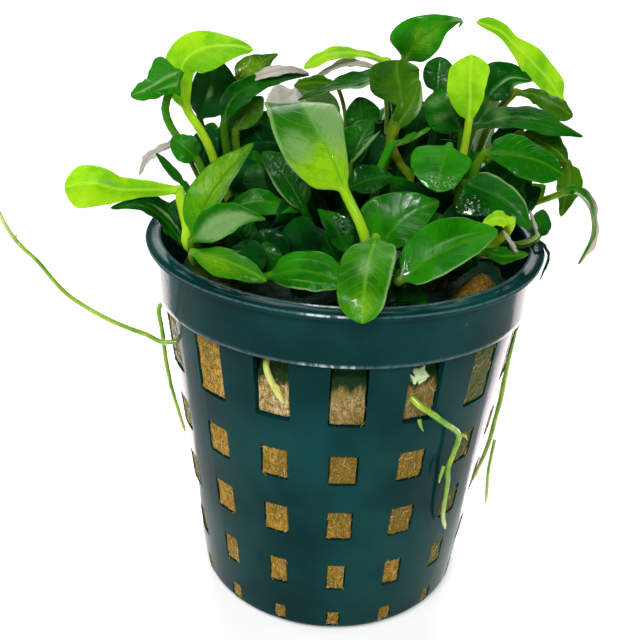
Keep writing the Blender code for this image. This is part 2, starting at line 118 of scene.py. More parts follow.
# Darker wool on the right, more of it higher up
RIGHT_DARKENING_X, RIGHT_DARKENING_HEIGHT = (-0.004, 0.0), (0.012, 0.024)
# The wool that swells into each window: points across it, the gap at its sides, how square it
# is, and how far its middle stays inside the wall's outside. It is lower under roots.
PAD_POINTS = 22
PAD_SIDE_GAP = 0.02
PAD_SQUARENESS = 40
PAD_DEPTH = 0.08
ROOT_PAD_DEPTH = 0.55
ROOT_COLUMNS = (COLUMNS - 1, 1)
# The wool's lumps, as height, size and seed, and its pits, with the level where they begin
PLUG_LUMPS, PLUG_PITS = ((0.34, 2.2, 3), (0.16, 0.6, 9)), (0.5, 4.5, 21, 0.0)
PAD_LUMPS, PAD_PITS = ((0.10, 1.6, 3), (0.07, 0.5, 9)), (0.25, 2.6, 21, 0.2)
PAD_SINK = 0.08
# Columns whose highest pad sinks in: from and to these heights, and how deep
SHADED_COLUMNS = (COLUMNS - 1, 0, 1)
SUNK_FROM, SUNK_TO, SUNK_DEPTH = 43.8, 45.6, 1.5
# Loose fibres and grains on the plug's top, and on each pad
TOP_FIBRES, PAD_FIBRES = 700, 22
TOP_GRAINS, PAD_GRAINS = 2400, 70
FIBRE_RINGS, FIBRE_AROUND = 6, 3
GRAIN_SHARP = 20
FIBRE_LENGTH, FIBRE_LIFT, FIBRE_BEND = (0.5, 1.7), (0.0, 0.2), (-0.4, 0.4)
FIBRE_RADIUS = (0.018, 0.038)
GRAIN_SIZE, GRAIN_STRETCH = (0.03, 0.085), (0.5, 1.3)
LOOSE_GAP = 0.02
# Darker wool in the windows at both sides of the front: turn from the front, in radians
SHADOW_RIGHT = (0.64, 0.70)
SHADOW_LEFT = (-0.92, -0.98)
SHADOW_END = (1.65, 1.5)
SHADOW_TOP = (0.0475, 0.0465)
# A pale shoot pressed against one window
SHOOT_PLACE = (0.0106, -0.0228, 0.0450)
SHOOT_REACH = (0.0018, 0.0014)
SHOOT_COLOR = (0.62, 0.80, 0.42)
WOOL_COLORS = ((0.13, 0.068, 0.006), (0.47, 0.27, 0.028))
WASHED_COLORS = ((0.18, 0.12, 0.045), (0.86, 0.70, 0.37))
CLUMP_COLOR = (0.10, 0.055, 0.008)
PATCHY_COLOR = (0.10, 0.085, 0.010)
RIGHT_DARKENING_COLOR = (0.11, 0.07, 0.006)
REGION_COLOR = (0.13, 0.085, 0.008)
SPARKLE_COLOR = (0.85, 0.70, 0.42)
SHADOW_COLOR = (0.02, 0.07, 0.02)
# Dark growth with painted shade in the front windows, and on the top with painted shade and a painted
# teal reflection
GROWTH_AND_SHADE_COLORS = ((0.002, 0.026, 0.006), (0.006, 0.075, 0.038))
FIBRE_COLORS = ((0.16, 0.085, 0.008), (0.50, 0.30, 0.04), (0.78, 0.62, 0.38))

# Rhizomes
RHIZOME_RADIUS = 1.5
RHIZOME_STEP = 0.22
RHIZOME_AROUND = 22
RHIZOME_RING = 2.4
RHIZOME_END = 1.4
RHIZOME_COLORS = ((0.09, 0.17, 0.012), (0.30, 0.30, 0.05))
RHIZOME_SPECK = (0.10, 0.05, 0.015)
SCAR_COLOR = (0.055, 0.032, 0.012)
# Points along each
RHIZOMES = {
    "left": ((-15.5, -14, 50), (-14.5, -5, 51.2), (-14, 4, 51.4), (-13, 13, 50.8)),
    "centre": ((1, -15, 50.6), (0, -5, 51.6), (1, 4, 51.8), (0.5, 13.5, 51)),
    "right": ((12, -10, 51.8), (14, -3, 51.6), (14.5, 5, 51.4), (13, 13, 50.8)),
}

# Roots: the colour, radius at the foot and at the tip, then points along each
ROOTS = {
    "long_left": ("green", 0.34, 0.24, (
        (-21.7, -10.6, 41.7), (-24, -11, 41.7), (-26.2, -11.3, 42.9), (-30.7, -12, 45.1),
        (-35.6, -12.5, 48.3), (-39.1, -13, 53), (-42.3, -13.5, 57.1), (-44, -14.2, 62))),
    "hanging_left": ("green", 0.34, 0.26, (
        (-24, -1.5, 43.5), (-26.2, -1, 42.2), (-25.9, -1.5, 39), (-25, -2.2, 32.5),
        (-24.3, -0.5, 26.2), (-23.2, 1, 19.8))),
    "in_window": ("pale", 0.4, 0.45, (
        (-8.6, -21.8, 46.6), (-8.8, -22.9, 45.4), (-8, -23.3, 43.2), (-6.4, -23.4, 40.4))),
    "front_right": ("green", 0.42, 0.28, (
        (9.3, -22, 41.6), (10.5, -22.8, 40.8), (11.8, -22.9, 40), (13.8, -22.3, 38.3),
        (16.1, -20, 35.2), (15.9, -19.1, 31.9), (15.5, -18.8, 29.3), (15.7, -18, 25.5),
        (15.7, -17.2, 20.3), (16.4, -16, 17))),
    "front_branch": ("green", 0.24, 0.2, (
        (14.75, -19.4, 29.8), (14.5, -19.4, 28.5), (14.4, -19.2, 26.9))),
    "back_right": ("green", 0.42, 0.3, (
        (24, 1.5, 43.5), (26.2, 2.6, 41.8), (25.8, 2.6, 38.9), (25.2, 1.6, 33.5),
        (24.6, 0.4, 28.2), (23.8, 0.5, 21.2), (23.1, 1.3, 16.8), (22.4, 2.5, 12.8))),
    "back_branch": ("green", 0.26, 0.22, (
        (24.6, -0.1, 22.2), (24.2, -0.5, 16.6), (24.4, -1, 11))),
}
# Small twigs on the roots: radius at the foot, then points along each
TWIG_TIP = 0.12
ROOT_TWIGS = {
    "long_left": ((0.26, ((-41.8, -13.4, 56.2), (-41.7, -13.9, 56.9), (-41.3, -14.2, 57.6))),),
    "in_window": ((0.3, ((-7.9, -23.5, 43), (-7.2, -23.5, 42.8), (-6.9, -23.6, 42))),),
    "front_right": (
        (0.3, ((16.1, -20, 35.2), (16.9, -19.9, 35), (17.4, -19.7, 34.2))),
        (0.26, ((11.8, -22.9, 40), (12.6, -23.2, 40), (13.1, -23.2, 39.5))),
        (0.3, ((10.6, -22.9, 38.9), (10.8, -23.3, 38.2), (11.2, -23.4, 37.5)))),
}
ROOT_STEP = 0.3
ROOT_AROUND = 10
ROOT_TIP_COLOR = (0.62, 0.66, 0.24)
ROOT_SPECK = (0.10, 0.16, 0.01)
# Young and old colour of each kind of root
ROOT_COLORS = {"pale": ((0.60, 0.60, 0.16), (0.42, 0.46, 0.07)),
               "green": ((0.34, 0.52, 0.025), (0.12, 0.30, 0.012))}

# Leaves. foot is a rhizome, the place along it from 0 to 1, and degrees round it. rib is
# points along the midrib from heel to tip. left and right are half widths at STATIONS, seen
# from above with the tip ahead. A plain leaf has only the heel and tip in rib, and in left its
# width and the share of its length where it is widest. faces says where the upper side looks
# at the heel and at the tip: degrees round from the front towards +X, then degrees up. folds
# lifts the left and the right half, and cups bends each of them further on towards its edge.
# stalk is points between foot and heel, and girth is its radius. wave is the height of the
# edge's ripples and waves their number. bow arches a plain leaf up and to its right. patches
# are soft places in another shade: kind, share along the blade (below 0 on the stalk), share
# across it (-1 left edge to 1 right edge), size along and across, strength.
Leaf = namedtuple("Leaf", "tone foot rib left right faces folds cups stalk girth wave waves "
                  "bow patches",
                  defaults=(None, ((0, 40),), (10,), (0,), (), 0.55, 0.18, 2.2, (0, 0), ()))
LEAVES = {
    "lime_top_left": Leaf("lime", ("left", 0.76, -60), ((-22.5, 5, 69.3), (-23.2, 5, 71.7),
        (-23.4, 5, 74), (-23, 5, 76.1), (-21.1, 4.5, 77.8), (-18.5, 4, 78.7), (-15.5, 4, 78.8),
        (-13.5, 4, 78.4)), (1.6, 3, 3.2, 2.1, 0.9), (0.9, 1.6, 3, 2.9, 1.3), faces=((-10, 20), (-5, 25)),
        folds=(-15,), stalk=((-18.7, 2, 64), (-20.1, 3, 66.6)), girth=0.6,
        patches=(("deep", 0.55, 0.2, 0.5, 1.1, 0.36), ("deep", 0.95, 0.3, 0.12, 0.8, 0.8))),
    "folded_far_left": Leaf("mid", ("left", 0.62, -85), ((-23.2, 3, 75.1), (-24.6, 2, 74.7),
        (-26.7, 0, 73.6), (-29.1, -1, 72.6)), (2.4, 2.5, 1.9, 1.3, 1), (3.3, 2.7, 1.9, 1.3, 0.9),
        faces=((-20, 35), (-25, 35)), folds=(-28, 4), stalk=((-22.1, 1, 64.8), (-24.4, 2, 67.8),
        (-25.1, 2, 71)), patches=(("sheen", 0.45, 0, 0.4, 0.07, 1),
        ("sheen", 0.3, -0.5, 0.25, 0.08, 0.6))),
    "dark_round_left": Leaf("dark", ("left", 0.86, -60), ((-21.7, 10, 67.1), (-20.7, 10.5, 70.2),
        (-19.7, 11, 73.2), (-18.9, 11, 75.4)), (1.5, 2.5, 2.7, 2.5, 1.7), (1.8, 3.6, 4.3, 3.9, 2.2),
        faces=((0, 20),), cups=(-20,), patches=(("sheen", 0.45, 0.05, 0.1, 0.05, 1),)),
    "arching_left": Leaf("deep", ("left", 0.5, 0), ((-17.2, 2, 68.6), (-16.6, 3, 71.2), (-14.4, 5, 73.1),
        (-10.8, 7, 74), (-6.1, 8, 74.6)), (0.9, 1.6, 1.4, 1, 0.5), (1.3, 2.3, 1.9, 1, 0.4),
        faces=((-10, 35), (0, 60)), folds=(25, 10)),
    "olive_back_left": Leaf("olive", ("left", 0.9, 10), ((-16.7, 12, 72.5), (-14.5, 13, 74.1),
        (-12.3, 13.5, 75.4), (-10.9, 13.5, 76.2)), (1.4, 2, 1.7, 1.1, 0.4), (0.9, 1.6, 1.7, 1.3, 0.5),
        faces=((0, 30),), patches=(("young", 0.4, 0, 0.3, 0.8, 0.45),)),
    "grey_sheen": Leaf("pale", ("centre", 0.62, -60), ((-7.8, 3, 73.3), (-11, 0.8, 70.3)), (4.5, 0.4),
        faces=((10, 40),), bow=(0.5, 0)),
    "pale_side_left": Leaf("pale", ("left", 0.56, -60), ((-24.3, 2, 65.7), (-26.2, 1, 64.8),
        (-27.6, 0, 63.6), (-28.4, -1, 61.9)), (0.5, 0.8, 0.9, 0.6, 0.3), (0.5, 0.8, 0.8, 0.7, 0.3),
        faces=((-30, 60),)),
    "small_clump_left": Leaf("mid", ("left", 0.46, -60), ((-20.5, -1, 64.5), (-24, 0, 67)), (4, 0.4),
        bow=(0.5, 0)),
    "lime_far_left": Leaf("lime", ("left", 0.26, -60), ((-21.7, -8, 62.4), (-25.2, -9.5, 62.7),
        (-28.7, -11, 63), (-32, -12, 64), (-35.5, -12, 63.4)), (0.8, 0.9, 1.6, 3, 3.2),
        (0.8, 1.2, 1.7, 2.2, 1.9), folds=(10, 22), stalk=((-19.8, -12.5, 56.4), (-20.2, -11.5, 58.8),
        (-21.1, -9.8, 61)), girth=0.66, patches=(("sheen", 0.62, 0.28, 0.12, 0.07, 0.7),
        ("deep", 0.45, -0.2, 0.2, 0.7, 0.5))),
    "dark_under_left": Leaf("deep", ("left", 0.34, -60), ((-21.3, -9, 55.5), (-23.4, -9.5, 58.5),
        (-25.9, -11, 60.9), (-29.8, -12, 60.9)), (0.7, 1, 0.9, 0.7, 0.4), (1.5, 2.5, 2.4, 1.8, 0.7),
        faces=((0, 55),), patches=(("sheen", 0.35, 0.3, 0.2, 0.06, 0.7),)),
    "green_left_upright": Leaf("mid", ("left", 0.16, -60), ((-19.1, -13, 57.8), (-17.9, -12, 61.8),
        (-15.8, -10.5, 65.1), (-12, -9, 69.4)), (1.6, 2.7, 2.7, 2, 0.8), (1.2, 2.1, 2, 1.4, 0.6),
        faces=((-5, 25), (-5, 35)), folds=(5, 25), patches=(("young", 0.6, -0.2, 0.45, 1.1, 0.42),
        ("sheen", 0.6, 0.6, 0.3, 0.3, 0.36), ("sheen", 0.6, 1, 0.35, 0.06, 0.8))),
    "sheen_left_front": Leaf("mid", ("left", 0.08, -60), ((-18.9, -16, 58.6), (-16, -16.5, 61),
        (-12.8, -17, 62.5), (-9.6, -17.5, 62.5)), (1.2, 2.4, 2.3, 1.5, 0.5), (1, 2.4, 2.8, 1.9, 0.7),
        faces=((0, 45), (0, 55)), folds=(12,), patches=(("sheen", 0.48, 0.25, 0.27, 0.5, 1),)),
    "green_behind_sheen": Leaf("mid", ("left", 0.22, 20), ((-15.3, -9, 60.6), (-11.4, -8.5, 61.5),
        (-8.2, -8, 60.9), (-5.7, -8, 60.4)), (0.9, 1.8, 1.6, 1, 0.4), (0.9, 2, 2, 1.4, 0.6),
        faces=((0, 45),)),
    "ribbed_rim_left": Leaf("fresh", ("left", 0, -50), ((-18.5, -17.5, 57.7), (-15.6, -19, 57.7),
        (-12.4, -20.5, 57.3), (-9, -21.5, 56.1)), (1.1, 1.8, 1.9, 1.6, 0.8), (1, 2, 2.3, 1.8, 0.9),
        faces=((0, 55),), cups=(-25,), patches=(("young", 0.35, 0.3, 0.28, 0.5, 0.4),)),
    "striped_front": Leaf("mid", ("left", 0.04, 70), ((-8.9, -19, 55.7), (-5.6, -21, 57.4),
        (-2.4, -22.5, 57.7), (0.6, -23.5, 57)), (1.7, 2.5, 2.8, 2.6, 1.5), (1.1, 2.1, 2.5, 2.3, 1.2),
        faces=((0, 45),), folds=(8,), cups=(-12,), patches=(("sheen", 0.45, -0.5, 0.35, 0.04, 0.45),
        ("sheen", 0.5, 0.15, 0.35, 0.03, 0.45), ("sheen", 0.55, 0.97, 0.4, 0.05, 0.8),
        ("sheen", 0.6, 0.55, 0.3, 0.04, 0.45))),
    "big_pale_centre": Leaf("fresh", ("centre", 0.08, 60), ((-0.2, -16, 65.8), (-1.7, -15.5, 69.2),
        (-3.7, -14, 72.3), (-5.7, -11.5, 74.8), (-7.2, -8.8, 74.6), (-8.5, -6.2, 73.4)),
        (3.4, 5.6, 5.9, 4.9, 2.8), (1.3, 2.6, 4.2, 4.6, 2.8), faces=((3, 32), (8, 80)), folds=(0, -8),
        cups=(30, -14), stalk=((2.6, -19.5, 60.2), (1.8, -18, 62.6)), girth=0.62,
        patches=(("deep", 0.85, -0.65, 0.3, 0.55, 1), ("sheen", 0.58, 0.5, 0.22, 0.38, 1),
        ("young", 0.02, 0, 0.24, 1.5, 1), ("sheen", 0.35, 1, 0.5, 0.1, 1),
        ("sheen", 0.4, -0.6, 0.09, 0.3, 0.6), ("sheen", 0.6, -1, 0.3, 0.08, 0.8))),
    "front_drooping": Leaf("fresh", ("centre", 0, 10), ((3.7, -20.5, 62), (2.9, -24.5, 60.5),
        (2.5, -28, 58.3), (2.5, -30.3, 55.4)), (2.4, 3.1, 3, 2.7, 2), (1.6, 3, 3.2, 3.1, 2.2),
        faces=((0, 60), (0, 25)), folds=(16, 4), cups=(0, -10),
        patches=(("sheen", 0.42, 0.1, 0.12, 0.3, 0.5), ("sheen", 0.45, -1, 0.5, 0.1, 0.7),
        ("young", 0.85, -0.1, 0.2, 0.5, 0.35))),
    "broad_right_centre": Leaf("mid", ("centre", 0.2, 60), ((4.5, -13.5, 57.7), (6, -13, 60.4),
        (8.4, -12, 62.4), (11.6, -11, 63.7)), (3.4, 4.8, 4, 2.6, 1), (1.6, 2.8, 3, 2.4, 1.1),
        faces=((0, 30), (0, 35)), folds=(4, 8)),
    "dark_by_petiole": Leaf("deep", ("centre", 0.1, -60), ((0.5, -15, 57.8), (-1.2, -15.5, 61.1),
        (-3.4, -16, 63.6)), (0.8, 1.4, 1.5, 1.2, 0.5), (0.9, 1.9, 2, 1.4, 0.5), faces=((0, 35),),
        patches=(("wet", 0.5, 0.6, 0.2, 0.3, 1),)),
    "dark_behind_big": Leaf("deep", ("centre", 0.38, 0), ((0, -4, 64.7), (1.1, -3, 68), (2.9, -1, 71)),
        (1.6, 2.8, 2.9, 2.3, 1.2), (0.8, 1.4, 1.5, 1.3, 0.7), faces=((0, 30),)),
    "dark_edge_left_centre": Leaf("deep", ("centre", 0.22, -60), ((-5.4, -9, 60.8), (-7, -7.5, 63),
        (-9, -5.5, 65.2), (-11.4, -4, 66.8)), (1, 1.7, 1.9, 1.6, 0.9), (1.5, 2.6, 2.8, 2.2, 1),
        faces=((0, 30),), patches=(("sheen", 0.35, -1, 0.35, 0.12, 1), ("wet", 0.75, 0, 0.2, 0.6, 0.4))),
    "lime_top_centre": Leaf("lime", ("centre", 0.82, 60), ((4.6, 8, 77), (0.7, 7, 78), (-3.3, 5, 78.1),
        (-6.7, 4, 76.3)), (0.3, 0.8, 1.2, 1.4, 0.9), (0.4, 0.8, 1, 1, 0.8), faces=((0, 60), (-10, 45))),
    "dark_top_centre": Leaf("deep", ("centre", 0.7, 60), ((4.4, 5, 76.1), (-0.1, 3, 74.9),
        (-4.1, 2, 73.8), (-7.2, 1, 72.7)), (1.6, 2, 1.4, 0.7, 0.3), (1.3, 1.9, 1.7, 0.9, 0.3),
        faces=((0, 70),), patches=(("sheen", 0.3, -1, 0.35, 0.2, 0.9),)),
    "olive_upright_centre": Leaf("olive", ("centre", 0.54, 60), ((6.7, 0, 72.7), (6.2, 0.4, 75.1),
        (5.7, 0.8, 76.9), (5.6, 1, 78.6)), (1.5, 3.4, 3.9, 3.7, 2.9), (1, 2.1, 2.7, 2.9, 2.6),
        faces=((-15, 15), (-15, 25)), cups=(-22, -10), stalk=((8.2, -2.5, 62.7), (6.8, -2, 65.6),
        (5.4, -1.5, 68.2), (5.6, -0.8, 70.6)), girth=0.6, patches=(("young", -0.5, 0, 0.15, 2, 0.35),)),
    "green_top": Leaf("mid", ("centre", 0.97, 60), ((6.8, 8, 77.1), (8.5, 7.5, 80), (10.9, 7, 82.1),
        (13.3, 6.2, 83.1), (13.9, 6, 82.9), (13.6, 5.8, 82.2)), (3, 3.4, 2.4, 1.2, 0.3),
        (2, 2.8, 2.6, 1.4, 0.3), faces=((0, 15),), cups=(-15, -10),
        patches=(("sheen", 0.9, -0.4, 0.08, 0.5, 0.8), ("young", 0.4, 0.1, 0.3, 0.6, 0.3))),
    "small_upright_centre": Leaf("olive", ("centre", 0.42, 60), ((5.8, -4.5, 71), (6.9, -4, 72.8),
        (7.8, -3.4, 74.5), (8.4, -3, 77)), (1, 1.5, 1.5, 1.1, 0.5), (0.8, 1.3, 1.4, 1.1, 0.5),
        faces=((10, 30),), patches=(("sheen", 0.75, 0.95, 0.25, 0.25, 0.9),)),
    "blue_sheen": Leaf("deep", ("right", 0.45, -30), ((14.7, -0.6, 69.9), (12.9, 1, 72.4),
        (11.7, 2.4, 74.8)), (2.2, 3.5, 3.8, 3.4, 2.3), (1.1, 1.7, 2, 2, 1.4), faces=((0, 40), (0, 50)),
        patches=(("sheen", 0.78, -0.35, 0.12, 0.5, 0.38), ("sheen", 0.45, -0.4, 0.1, 0.45, 0.33))),
    "thin_crescent": Leaf("mid", ("centre", 0.28, 60), ((5.5, -6.5, 69.6), (7.6, -7, 70.5),
        (9.9, -8, 72.2)), (0.4, 0.8, 0.9, 0.7, 0.3), (0.3, 0.5, 0.5, 0.4, 0.2), faces=((-20, 80),)),
    "sparkly_back": Leaf("deep", ("right", 0.65, -60), ((11.4, 4, 74), (11.4, 5, 76.2), (11.6, 6, 78.3)),
        (1.3, 2, 2.1, 1.9, 1.1), (1.3, 2.1, 2.3, 2.1, 1.2), patches=(("wet", 0.5, 0, 0.5, 1, 0.22),)),
    "lime_spoon": Leaf("lime", ("right", 0.38, 0), ((15.2, -3, 72), (15, -3.8, 74.9), (14.6, -4.5, 77.8),
        (14.4, -5, 80.8)), (1.2, 2.4, 3, 2.9, 2.1), (0.7, 1.6, 1.8, 2.3, 2), faces=((0, 10), (0, 18)),
        folds=(10, 12), girth=0.5),
    "lime_top_right": Leaf("lime", ("right", 0.94, 60), ((29.5, 9.8, 71.9), (27.2, 9, 75),
        (24, 7.5, 77.9), (21.2, 6, 80.2), (19, 4.8, 82.1), (15.6, 3.6, 83.4)), (1.5, 2.1, 1.9, 1.2, 0.8),
        (1.6, 2.2, 1.9, 0.9, 1.5), faces=((15, 25), (5, 40)), folds=(8,), wave=0.3, waves=1.4,
        patches=(("deep", 0.92, 0, 0.16, 1.5, 1),)),
    "dark_back_right": Leaf("deep", ("right", 0.75, 10), ((18, 4, 73.1), (19.3, 5, 75), (21.3, 6, 76.1),
        (24.3, 6.5, 75.6)), (2.6, 3.2, 2.6, 1.5, 0.6), (1.6, 2.3, 2.1, 1.3, 0.5), faces=((0, 25),),
        patches=(("sheen", 0.6, 0.1, 0.25, 0.06, 0.9), ("sheen", 0.7, 1, 0.2, 0.3, 0.6))),
    "olive_arching_right": Leaf("olive", ("right", 0.82, 60), ((22.1, 5.5, 74.2), (25, 4.5, 74),
        (27.4, 3, 73.1), (29.6, 2.5, 71.9)), (0.8, 1.3, 1.5, 1.5, 1.3), (0.7, 1.4, 2, 2.3, 1.9),
        faces=((0, 65),), cups=(-15, -20)),
    "long_dark_right": Leaf("deep", ("right", 0.52, 60), ((16.3, -0.8, 70.7), (20.2, -0.3, 72.1),
        (24.9, -0.5, 72.1), (30.6, -0.8, 70.2)), (1.4, 2, 2, 1.3, 0.4), (1.1, 2.1, 2.6, 2.4, 1),
        faces=((0, 60),), folds=(8,), cups=(-15,), patches=(("sheen", 0.24, -0.1, 0.07, 0.9, 0.36),
        ("sheen", 0.5, -0.3, 0.4, 0.03, 0.45), ("sheen", 0.5, 0.4, 0.35, 0.03, 0.45))),
    "round_sparkle": Leaf("mid", ("right", 0.22, -60), ((12.6, -7, 69.7), (11.6, -9.8, 67.6),
        (11.1, -12.8, 65.5)), (2.8, 3.4, 3.1, 2.5, 1.7), (2.8, 4, 4, 3.3, 1.9), faces=((0, 60), (0, 35)),
        folds=(8,), cups=(-14,), patches=(("wet", 0.85, 0, 0.13, 1, 1),)),
    "green_right": Leaf("mid", ("right", 0.34, 60), ((17.3, -5.8, 68.7), (20.7, -6.5, 68.8),
        (24.2, -7, 68.2), (27.3, -7.3, 66.8)), (2.2, 3.1, 2.8, 2.1, 1.1), (1, 2.3, 3.2, 3.2, 1.9),
        faces=((0, 50),), cups=(-14, -18), patches=(("deep", 0.55, 0.3, 0.5, 1.3, 1),)),
    "dark_drooping_right": Leaf("deep", ("right", 0.2, 60), ((14.6, -9, 65.6), (17.4, -11, 65.2),
        (20.5, -12.5, 63.8), (22.9, -14, 61.6)), (2, 2.5, 2.5, 1.8, 0.8), (3.8, 4, 2.8, 1.7, 0.7),
        faces=((0, 45),), folds=(8,), cups=(-10, -14), patches=(("wet", 0.2, 0.8, 0.16, 0.3, 1),
        ("sheen", 0.55, -1, 0.4, 0.1, 0.9))),
    "olive_behind_right": Leaf("olive", ("right", 0.6, 20), ((22.6, 1, 69.6), (25.3, 0.5, 68.9),
        (27.5, 0, 67.8), (29.1, -0.5, 66.5)), (0.9, 1.8, 2.2, 1.9, 1), (0.9, 1.7, 1.9, 1.6, 0.8),
        faces=((10, 50),)),
    "olive_far_right": Leaf("olive", ("right", 0.68, 60), ((30, 3, 65.4), (30.3, 2, 62.4),
        (29.7, 1, 58.3)), (1.3, 1.9, 1.8, 1.2, 0.5), (1.3, 1.9, 1.7, 1.1, 0.5), faces=((10, 20),)),
    "drooping_far_right": Leaf("mid", ("right", 0.58, 60), ((28.7, -2, 62.7), (30.5, -2, 63.2),
        (32.6, -2.3, 61.5), (33.5, -2.6, 59.1), (33.5, -2.8, 56.5), (32.2, -3, 53)),
        (0.9, 1.2, 1.3, 1.5, 1.1), (0.9, 1.2, 1, 0.6, 0.3), faces=((70, 30),), folds=(15,), girth=0.45,
        patches=(("young", -0.35, 0, 0.22, 3, 1), ("dry", 0.75, -0.7, 0.3, 0.45, 1))),
    "curled_rim_right": Leaf("deep", ("right", 0.28, 60), ((25, -8, 58.5), (25.5, -7, 62)), (3, 0.4),
        faces=((0, 20),)),
    "tiny_lime": Leaf("lime", ("right", 0.14, 75), ((20.1, -15.5, 63.2), (18.2, -16, 63.5),
        (16.4, -16.5, 62.8)), (0.6, 1.2, 1.2, 0.8, 0.3), (0.6, 1, 1, 0.7, 0.3), faces=((0, 50),)),
    "small_brown_tip": Leaf("mid", ("right", 0, 20), ((17.1, -14.8, 58.7), (20, -15, 58.2),
        (22.7, -15.5, 59)), (0.8, 1.3, 1.4, 1, 0.4), (0.7, 1.2, 1.2, 0.9, 0.4), faces=((0, 60),)),
    "big_front_right": Leaf("mid", ("right", 0.02, -60), ((6.8, -22, 57.3), (10.2, -21.5, 60.1),
        (13.8, -20.5, 61.8), (18.1, -19, 63.1)), (2.2, 3.5, 4.2, 3.5, 1.7), (1.8, 2.6, 2.7, 2.2, 1),
        faces=((-5, 45), (0, 50)), folds=(6, 8), cups=(-10, 0),
        patches=(("wet", 0.05, -0.3, 0.08, 0.3, 1), ("sheen", 0.55, -0.2, 0.25, 0.04, 0.45),
        ("sheen", 0.5, 1, 0.45, 0.06, 0.8))),
    "back_left": Leaf("mid", ("left", 0.98, 0), ((-14, 13, 63), (-19, 21, 69)), (8, 0.4),
        faces=((170, 35),), bow=(1, 0)),
    "back_middle_left": Leaf("deep", ("centre", 0.9, -50), ((-5, 11, 64), (-8, 17, 72)), (9, 0.4),
        faces=((180, 30),), bow=(1, 0)),
    "back_middle_right": Leaf("mid", ("centre", 0.98, 10), ((5, 15, 62), (6, 23, 68)), (8, 0.4),
        faces=((180, 40),), bow=(1, 0)),
    "back_right": Leaf("deep", ("right", 0.98, 0), ((17, 13, 62), (22, 20, 70)), (9, 0.4),
        faces=((170, 30),), bow=(1, 0)),
}

